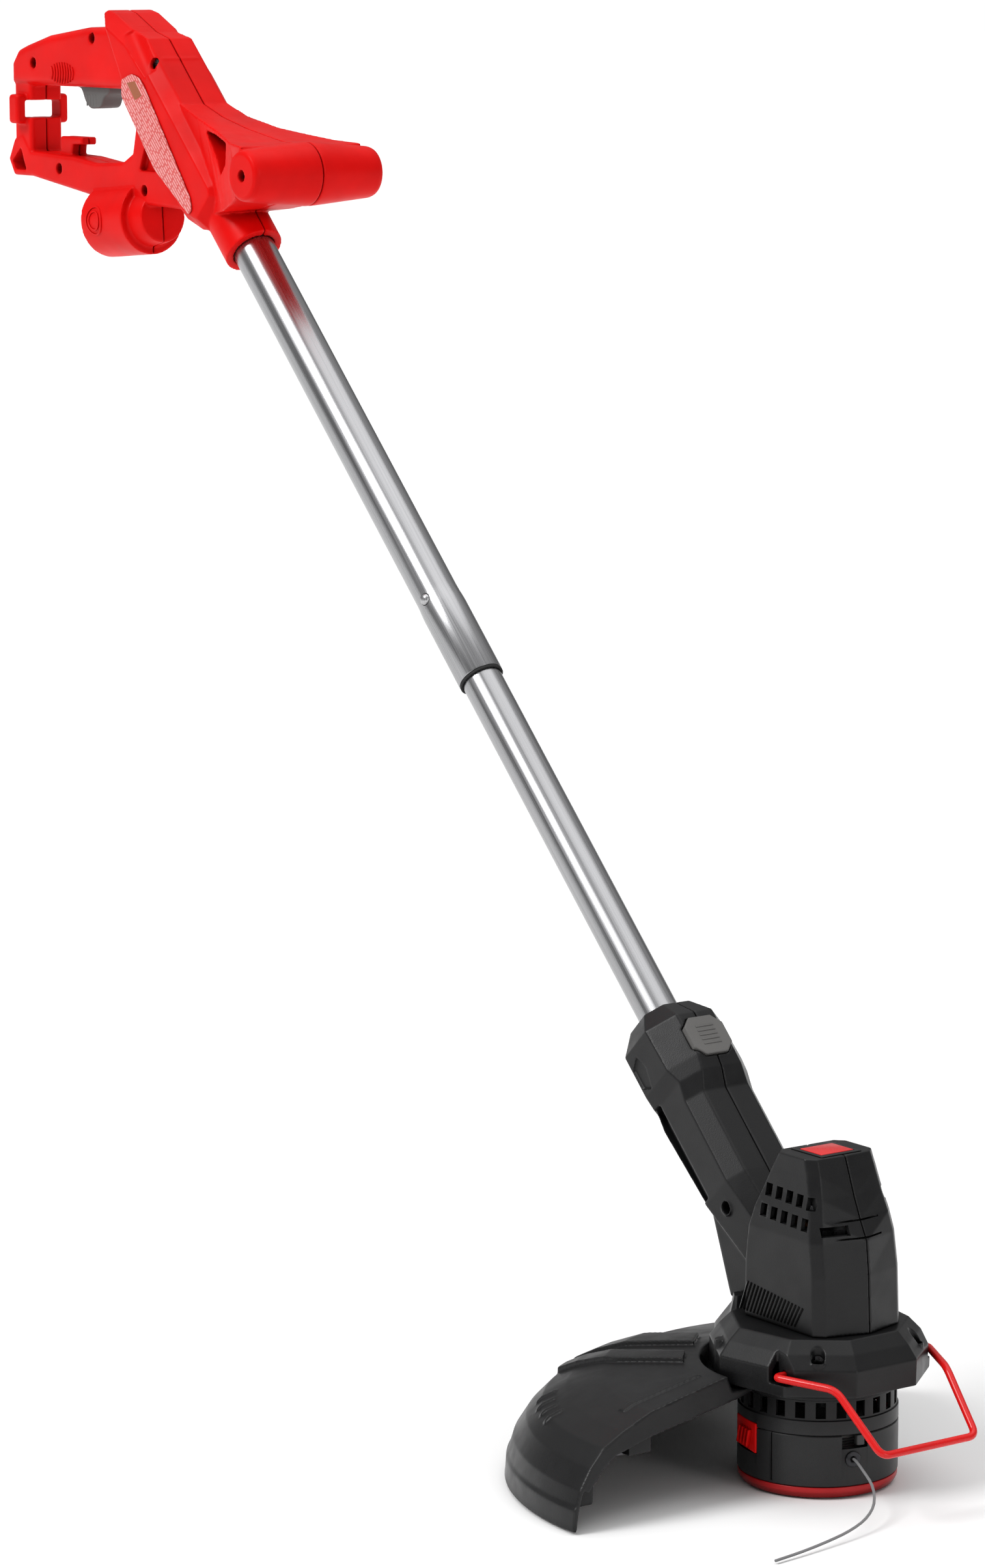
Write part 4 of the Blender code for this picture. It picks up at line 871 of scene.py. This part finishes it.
def head_whole():
    """Both head shells in one, hollow, with the screw's boss."""
    cavity_rows = [(min(row[0], 191.0), *row[1:]) for row in MOTOR_SECTIONS]
    cavity_rows[0] = (90.0, *MOTOR_SECTIONS[0][1:])
    cuts = [motor_solid(cavity_rows, WALL), neck_solid(NECK_CAVITY, WALL),
            rod(on_shaft(122), on_shaft(215), 14.4), button_solid(GAP, 16.6, 39.0)]
    for side in (-1, 1):
        cuts.append(block((-19.5, side * 25 - 9, 92), (-8.5, side * 25 + 9, 158), LEAN))
        cuts.append(loft([[(n, side * y, t) for n, t in COLLAR_WEDGE] for y in (26.6, 30.0)], LEAN))
    cuts.append(block((-9, -15, 193), (19, 15, 200)))
    whole = combine(neck_solid(NECK_SECTIONS), [motor_solid(MOTOR_SECTIONS), plate(HEAD_SPINE, 15, 3)], cuts)
    return with_screw_boss(whole, *HEAD_SCREW_PLACE, 24.5, (-35.5, -12.9), (-20.5, 11.5))


def head_openings(side):
    """Sharp-edged openings of one shell: the vents, and the notch and slots across the front."""
    made = []
    for row, height in enumerate((156.4, 168.4)):
        for k in range(5):
            x = -17.5 + k * 9.3 + row * 1.8
            z = height - 0.4 * k
            made.append(block((x, side * 30 - 6, z), (x + 5.6, side * 30 + 6, z + 7.4)))
    if side < 0:
        made.append(block((26, -26, 152.6), (60, -9, 158.2)))
    low, high = (-24, 0) if side < 0 else (0, 15)
    made.append(block((33.2, low, 159.6), (60, high, 160.7)))
    made.append(block((36.2, low, 150.2), (60, high, 151.3)))
    return merged(*made)


def make_head_shells():
    """The two black shells and their screw."""
    whole = head_whole()
    for side, name in ((-1, "head_right"), (1, "head_left")):
        shell = combine(soften(half_of(whole, side), 0.7, 3), cuts=[head_openings(side)])
        show(name + "_shell", shell, "head", "black_plastic", node_name=name)
    x, z = HEAD_SCREW_PLACE
    screw("head_screw", (x, -15.5, z), (0, 1, 0), 26, "head")


def make_badge():
    """A plain red plate standing in a black frame on the motor's top."""
    frame_block = block((-8.7, -14.7, 194.4), (18.7, 14.7, 195.4), bevel=0.3, steps=2)
    rim = combine(frame_block, cuts=[block((-4.6, -12.3, 190), (15.6, 12.3, 200))])
    show("badge_frame", rim, "head", "black_plastic")
    plateau = merged(block((-8.5, -14.5, 193.3), (18.5, 14.5, 194.3), bevel=0.3),
                     block((-4.2, -11.9, 194.0), (15.2, 11.9, 195.7), bevel=0.5))
    show("badge_plate", plateau, "head", "red_plastic", BADGE_RED, "badge")


def make_push_button():
    """The grey button's cap, with five low bars across it."""
    cap = soften(button_solid(0, 24.0, BUTTON_TOP), 0.35, 6)
    bars = []
    for k in range(5):
        t = 171.6 + 3.0 * k
        bars.append(block((BUTTON_TOP - 0.3, -6.5, t), (BUTTON_TOP + 0.35, 6.5, t + 1.0), LEAN, 0.25, 2))
    show("push_button_cap", merged(cap, *bars), "push_button", "grey_plastic", node_name="push_button")


def make_grip_hatch():
    """A patch of slanted fine ribs at the foot of each side of the motor."""
    hatch = []
    for side in (-1, 1):
        for k in range(17):
            x = -28 + 3.1 * k
            path = [(x - 4.5, side * 31.85, 98.5), (x + 2.5, side * 31.8, 116.0 - 0.35 * k)]
            hatch.append(tube_along(path, 0.75, 1))
    # the ribs take the darker black: painted shade
    show("grip_hatch", merged(*hatch), "head", "black_plastic", HATCH_PAINTED_SHADE)


def node_copy(name):
    """A copy of a CAD node's mesh, where the CAD already has the piece's real shape."""
    return frame["nodes"][name].data.copy()


def make_springs():
    """The two coil springs, in the CAD's own shapes."""
    for name, body, joint, axis, end, travel in (
            ("push_button_spring", "head", "push_button_press", (1, 0, 1), min, 2.3),
            ("trigger_spring", "handle", "trigger_pull", (0, 0, 1), max, 7.0)):
        way = Vector(axis).normalized()
        mesh = node_copy(name)
        along = [vertex.co.dot(way) for vertex in mesh.vertices]
        middle = sum((vertex.co for vertex in mesh.vertices), Vector()) / len(mesh.vertices)
        anchor = middle + way * (end(along) - middle.dot(way))
        piece = show(name + "_coil", mesh, body, "spring_steel", node_name=name)
        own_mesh(piece)


# ---------------- skirt and guard

SKIRT_SCREW_R = 56.2
SKIRT_SCREW_ANGLES = (-40, 40)
GUARD_SCREW_R = 57.5
GUARD_SCREW_ANGLES = (-204, -114)


def welded(mesh):
    """A mesh with its doubled corners joined."""
    bm = bmesh.new()
    bm.from_mesh(mesh)
    bmesh.ops.remove_doubles(bm, verts=bm.verts, dist=0.001 * MM)
    return to_mesh(bm)


def make_skirt():
    """The collar under the motor, and the four screws that hold it and the guard."""
    shell = soften(welded(node_copy("skirt")), 0.6, 3)
    show("skirt_shell", shell, "head", "black_plastic", node_name="skirt")
    for number, angle in enumerate(SKIRT_SCREW_ANGLES, 1):
        screw("skirt_screw_%d" % number, polar(SKIRT_SCREW_R, angle, 77.7), (0, 0, -1), 9, "head")
    for number, angle in enumerate(GUARD_SCREW_ANGLES, 1):
        screw("guard_screw_%d" % number, polar(GUARD_SCREW_R, angle, 57.0), (0, 0, 1), 17, "head")


GUARD_PROFILE = [(50, 61), (65, 61), (69, 70.5), (96, 65.4), (124.5, 60), (145, 52), (158.6, 45),
                 (167.8, 35.4), (175, 24), (178, 14), (180, 0.8)]
GUARD_SWEEP = (-88.0, -230.0)
GUARD_HALF_WALL = 1.3
CUTTER_ANGLE = -92
EDGE_WALL = [(52, 59.7), (66, 59.7), (67.5, 69), (96, 64.5), (124.5, 59), (145, 51), (158.6, 44),
             (167.8, 34.4), (174.5, 24), (170, 22), (160, 33), (150, 40), (124, 46.5), (60, 57)]
GUARD_RIBS = [[(-64, -41), (-104, -52.5), (-150, -66), (-160, -50), (-118, -31), (-82, -23)],
              [(-40, -68), (-84, -83), (-134, -88), (-148, -74), (-97, -69), (-52, -57)]]
GUARD_PANELS = [[(-12, -132), (-12, -78), (-17, -78), (-17, -132)],
                [(-100, -128), (-93, -120), (-90, -123), (-97, -131)],
                [(-89, -136), (-82, -128), (-79, -131), (-86, -139)],
                [(-77, -143), (-71, -135), (-68, -137), (-74, -145)],
                [(-65, -149), (-60, -140), (-57, -142), (-62, -151)]]
GUARD_RIM = [(177, 15.4), (178.6, 1.0), (181.0, 1.0), (180.3, 13.2), (178.9, 15.6)]


def swept(profile, start, stop, steps):
    """A closed profile of (radius, height) swept about Z between two angles, with closed ends."""
    sections = []
    for k in range(steps + 1):
        angle = start + (stop - start) * k / steps
        sections.append([polar(r, angle, z) for r, z in profile])
    return loft(sections)


def guard_skin(low, high):
    """The guard's wall as a closed profile between two offsets from its middle."""
    outer = []
    inner = []
    count = len(GUARD_PROFILE)
    for i, point in enumerate(GUARD_PROFILE):
        before = Vector(GUARD_PROFILE[max(i - 1, 0)])
        after = Vector(GUARD_PROFILE[min(i + 1, count - 1)])
        way = (after - before).normalized()
        normal = Vector((-way.y, way.x))
        outer.append(tuple(Vector(point) + normal * high))
        inner.append(tuple(Vector(point) + normal * low))
    return outer + inner[::-1]


def raised_parts(outlines, height, inset):
    """Bars or panels that stand on the guard's skin, short of its ends by inset degrees."""
    skin = guard_skin(-0.6, height)
    count = len(GUARD_PROFILE)
    slope = skin[2:count - 1] + skin[count + 1:2 * count - 2]
    band = swept(slope, GUARD_SWEEP[0] - inset, GUARD_SWEEP[1] + inset, 90)
    return [combine(band, within=[loft([[(x, y, z) for x, y in outline] for z in (0, 90)])])
            for outline in outlines]


def make_guard():
    """The guard: a swept wall with an end wall, ribs, panels, a rim and two inner blocks."""
    turn = about_spindle(CUTTER_ANGLE)
    joins = [block((121, -5.0, 36), (137, 4.0, 55), turn), block((161, -4.0, 12), (172, 4.0, 27), turn),
             placed(plate(EDGE_WALL, 1.25, 0, -1.25), about_spindle(GUARD_SWEEP[0]))]
    joins += raised_parts(GUARD_RIBS, 4.4, 4)
    joins += raised_parts(GUARD_PANELS, 2.4, 1)
    joins.append(swept(GUARD_RIM, *GUARD_SWEEP, 110))
    cuts = [rod(polar(GUARD_SCREW_R, angle, 50), polar(GUARD_SCREW_R, angle, 65), 2.2, sides=24)
            for angle in GUARD_SCREW_ANGLES]
    wall = swept(guard_skin(-GUARD_HALF_WALL, GUARD_HALF_WALL), *GUARD_SWEEP, 110)
    shell = soften(combine(wall, joins, cuts), 0.8, 3)
    show("guard_shell", shell, "head", "black_plastic", node_name="guard")


def make_line_cutter():
    """The small blade inside the guard, with its rivet hole."""
    blade = combine(block((119, -6.8, 34), (139, -5.3, 52), bevel=0.3, steps=1),
                    cuts=[rod((129, -8, 38), (129, 0, 38), 1.6, sides=32)])
    show("line_cutter_blade", placed(blade, about_spindle(CUTTER_ANGLE)), "head", "screw_steel",
         node_name="line_cutter")


# ---------------- line head

HEAD_R = 46.5
HEAD_WALL_R = HEAD_R - 2.8
CAP_TOP = 37.5
HOUSING_TOP = 63.0
EYELET_Z = 23.4
EYELET_TURN = about_spindle(-14)
TAB_ANGLES = (-104.0, 76.0)
TAB_HALF = 12.5
TAB_LOW = 22.2
TAB_HIGH = 39.8
HOUSING_VENTS = 24


def eyelet_place(radius):
    """The place on the eyelet's axis at a radius from the spindle."""
    return EYELET_TURN @ Vector((radius, 0, EYELET_Z))


def make_spool_cap():
    """The cap with its openings and four fine grooves, and the red ring round its foot."""
    top = CAP_TOP - GAP / 2
    profile = [(0, 4.2), (34, 4.2), (34.5, 10.0), (HEAD_WALL_R, 10.0), (HEAD_WALL_R, top),
               (HEAD_R - 0.6, top), (HEAD_R, top - 0.6), (HEAD_R, 8.0), (HEAD_R - 0.5, 7.4), (37.0, 7.4),
               (37.0, 0.4), (36.6, 0), (0, 0)]
    opening = TAB_HALF + GAP
    cuts = []
    for angle in TAB_ANGLES:
        cuts.append(block((40, -opening, TAB_LOW - 0.4), (50, opening, 45), about_spindle(angle)))
        for away in (-30, 30):
            cuts.append(block((HEAD_R - 0.7, -0.35, 9), (HEAD_R + 2, 0.35, 40), about_spindle(angle + away)))
    cuts += [block((40, -6.6, 29.4), (50, 9.9, 40), EYELET_TURN),
             rod(eyelet_place(40), eyelet_place(50), 3.35, sides=48)]
    shell = combine(lathe(profile, 160, closed=False), cuts=cuts)
    show("spool_cap_shell", shell, "line_head", "black_plastic", node_name="spool_cap")
    ring = rounded([(HEAD_R - 0.3, 7.1), (HEAD_R - 0.3, 4.0), (44.2, 0.6), (37.3, 0.6), (37.3, 7.1)], 0.8)
    show("cap_ring_band", lathe(ring, 160), "line_head", "red_plastic", RING_RED, "cap_ring")


def make_spool_housing():
    """The turning housing above the cap, with a ring of vents in a shallow band."""
    low = CAP_TOP + GAP / 2
    band_r = HEAD_R - 0.8
    profile = [(0, HOUSING_TOP), (43.4, HOUSING_TOP), (45.6, HOUSING_TOP - 0.9), (HEAD_R, HOUSING_TOP - 3),
               (HEAD_R, 58.6), (band_r, 58.0), (band_r, 46.6), (HEAD_R, 46.0), (HEAD_R, low + 0.5),
               (HEAD_R - 0.5, low), (HEAD_WALL_R, low), (HEAD_WALL_R, 60.4), (10, 60.4), (10, 44), (0, 44)]
    opening = TAB_HALF + GAP
    openings = [block((41, -2.9, 47.6), (50, 2.9, 57.0), about_spindle(360 / HOUSING_VENTS * (k + 0.5)))
                for k in range(HOUSING_VENTS)]
    openings += [block((40, -opening, 30), (50, opening, TAB_HIGH + 0.4), about_spindle(angle))
                 for angle in TAB_ANGLES]
    shaft_hole = rod((0, 0, 40), (0, 0, 70), 4.3)
    shell = combine(lathe(profile, 168, closed=False), cuts=[shaft_hole, merged(*openings)])
    show("spool_housing_shell", shell, "line_head", "black_plastic", node_name="spool_housing")


def make_release_tabs():
    """The two red tabs: plates bowed to the cap's round wall, with four slanted ribs each."""
    for number, angle in enumerate(TAB_ANGLES, 1):
        tab = block((43.6, -TAB_HALF, TAB_LOW), (HEAD_R + 0.4, TAB_HALF, TAB_HIGH), bevel=0.7)
        for vertex in tab.vertices:
            if vertex.co.x > 45.5 * MM:
                bow = HEAD_R * MM - math.sqrt((HEAD_R * MM) ** 2 - vertex.co.y ** 2)
                vertex.co.x -= bow * 0.8
        ribs = []
        for k in range(4):
            y = -6.6 + 4.0 * k
            rib = block((HEAD_R - 1.4, y - 0.8, 24.2), (HEAD_R + 1.3, y + 0.8, 35.0), bevel=0.45)
            for vertex in rib.vertices:
                vertex.co.y += (vertex.co.z - 29.5 * MM) * 0.3
            ribs.append(rib)
        name = "release_tab_%d" % number
        show(name + "_ribbed", placed(merged(tab, *ribs), about_spindle(angle)), name, "red_plastic",
             node_name=name)


def make_lever_and_eyelet():
    """The small feed lever, and the steel ferrule that the line leaves by."""
    lever = block((40.6, 3.2, 30.4), (45.4, 8.2, 36.8), EYELET_TURN, 0.8)
    show("feed_lever_arm", lever, "feed_lever", "light_grey_plastic", LEVER_GREY, "feed_lever")
    profile = [(3.2, 4.6), (3.2, 1.2), (4.0, 1.15), (4.6, 0.9), (4.6, 0.4), (4.2, 0.0), (2.2, 0.0),
               (1.5, 0.5), (1.4, 1.2), (1.4, 4.6)]
    lip = Matrix.Translation(Vector((HEAD_R + 1.3, 0, EYELET_Z)) * MM)
    inwards = Matrix.Rotation(math.radians(-90), 4, "Y")
    ferrule = lathe(profile, 64, turn=EYELET_TURN @ lip @ inwards)
    show("line_eyelet_ferrule", ferrule, "line_head", "screw_steel", DARK_STEEL, "line_eyelet")


def make_spool():
    """The spool, and the line wound on it in three layers of eleven turns."""
    reel = [(6, 35), (38, 35), (38, 33.2), (22, 33.2), (22, 12.8), (38, 12.8), (38, 11), (6, 11)]
    show("spool_reel", lathe(rounded(reel, 0.5, 2), 96), "spool", "grey_plastic", node_name="spool")
    per_turn = 24
    layers = []
    for layer in range(3):
        path = [polar(32.9 - layer * 1.75, 360 * k / per_turn, 14.0 + 1.68 * k / per_turn)
                for k in range(11 * per_turn + 1)]
        layers.append(tube_along(path, 0.82, 1))
    core = lathe([(30, 32.6), (30, 13.3), (22.5, 13.3), (22.5, 32.6)], 96)
    show("wound_line_turns", merged(core, *layers), "spool", "line_nylon", node_name="wound_line")


def smooth_path(points, per_span):
    """A smooth curve through points, as a closer row of points."""
    points = [Vector(p) for p in points]
    ends = [2 * points[0] - points[1], *points, 2 * points[-1] - points[-2]]
    path = []
    for a, b, c, d in zip(ends, ends[1:], ends[2:], ends[3:]):
        for k in range(per_span):
            f = k / per_span
            path.append(0.5 * (2 * b + (c - a) * f + (2 * a - 5 * b + 4 * c - d) * f ** 2
                               + (3 * b - a - 3 * c + d) * f ** 3))
    return [*path, points[-1]]


LINE_R = 0.825
LINE_POINTS = [(58, -15.0, 21.0), (74, -21.0, 16.5), (87, -30.5, 11.0), (96, -44, 7.0), (102, -61, 4.5),
               (106, -80, 3.0), (109.5, -101, 2.0), (112, -122, 1.4)]


def make_line():
    """The free end of the cutting line, from the eyelet to its cut end near the ground."""
    start = eyelet_place(HEAD_R - 2.0)
    path = smooth_path([start, eyelet_place(HEAD_R + 4.0), *LINE_POINTS], 3)
    curve = round_curve("cutting_line_free", path, LINE_R, 5)
    curve.materials.append(LOOKS["line_nylon"])
    line = link("cutting_line_free", curve)
    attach(line, "line_head")
    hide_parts("cutting_line")


GUIDE_R = 2.25
GUIDE_SIDE = [(30.0, -45.8, 75.5), (30.0, -57.0, 75.5), (65.0, -41.0, 73.5), (98.5, -34.8, 42)]


def make_wire_guide():
    """The folding edge guide: one bent wire, the same on both sides."""
    path = GUIDE_SIDE + [(x, -y, z) for x, y, z in reversed(GUIDE_SIDE)]
    wire = tube_along(rounded(path, 6.0, 10, closed=False, share=0.4), GUIDE_R, 6)
    show("wire_guide_rod", wire, "wire_guide", "red_wire", angle=60, node_name="wire_guide")


make_floor()
make_tubes()
make_snap_button()
make_handle_shells()
make_handle_screws()
make_label()
make_grip_ribs()
make_cup_mark()
make_trigger()
make_head_shells()
make_badge()
make_push_button()
make_grip_hatch()
make_skirt()
make_guard()
make_line_cutter()
make_spool_cap()
make_spool_housing()
make_release_tabs()
make_lever_and_eyelet()
make_line()
make_spool()
make_wire_guide()
make_springs()

slots = {row["node"]: row["material_slot"] for row in frame["record"]["subparts"]}
for name, cad_node in frame["nodes"].items():
    cad_node.data.materials.clear()
    cad_node.data.materials.append(LOOKS[slots[name]])
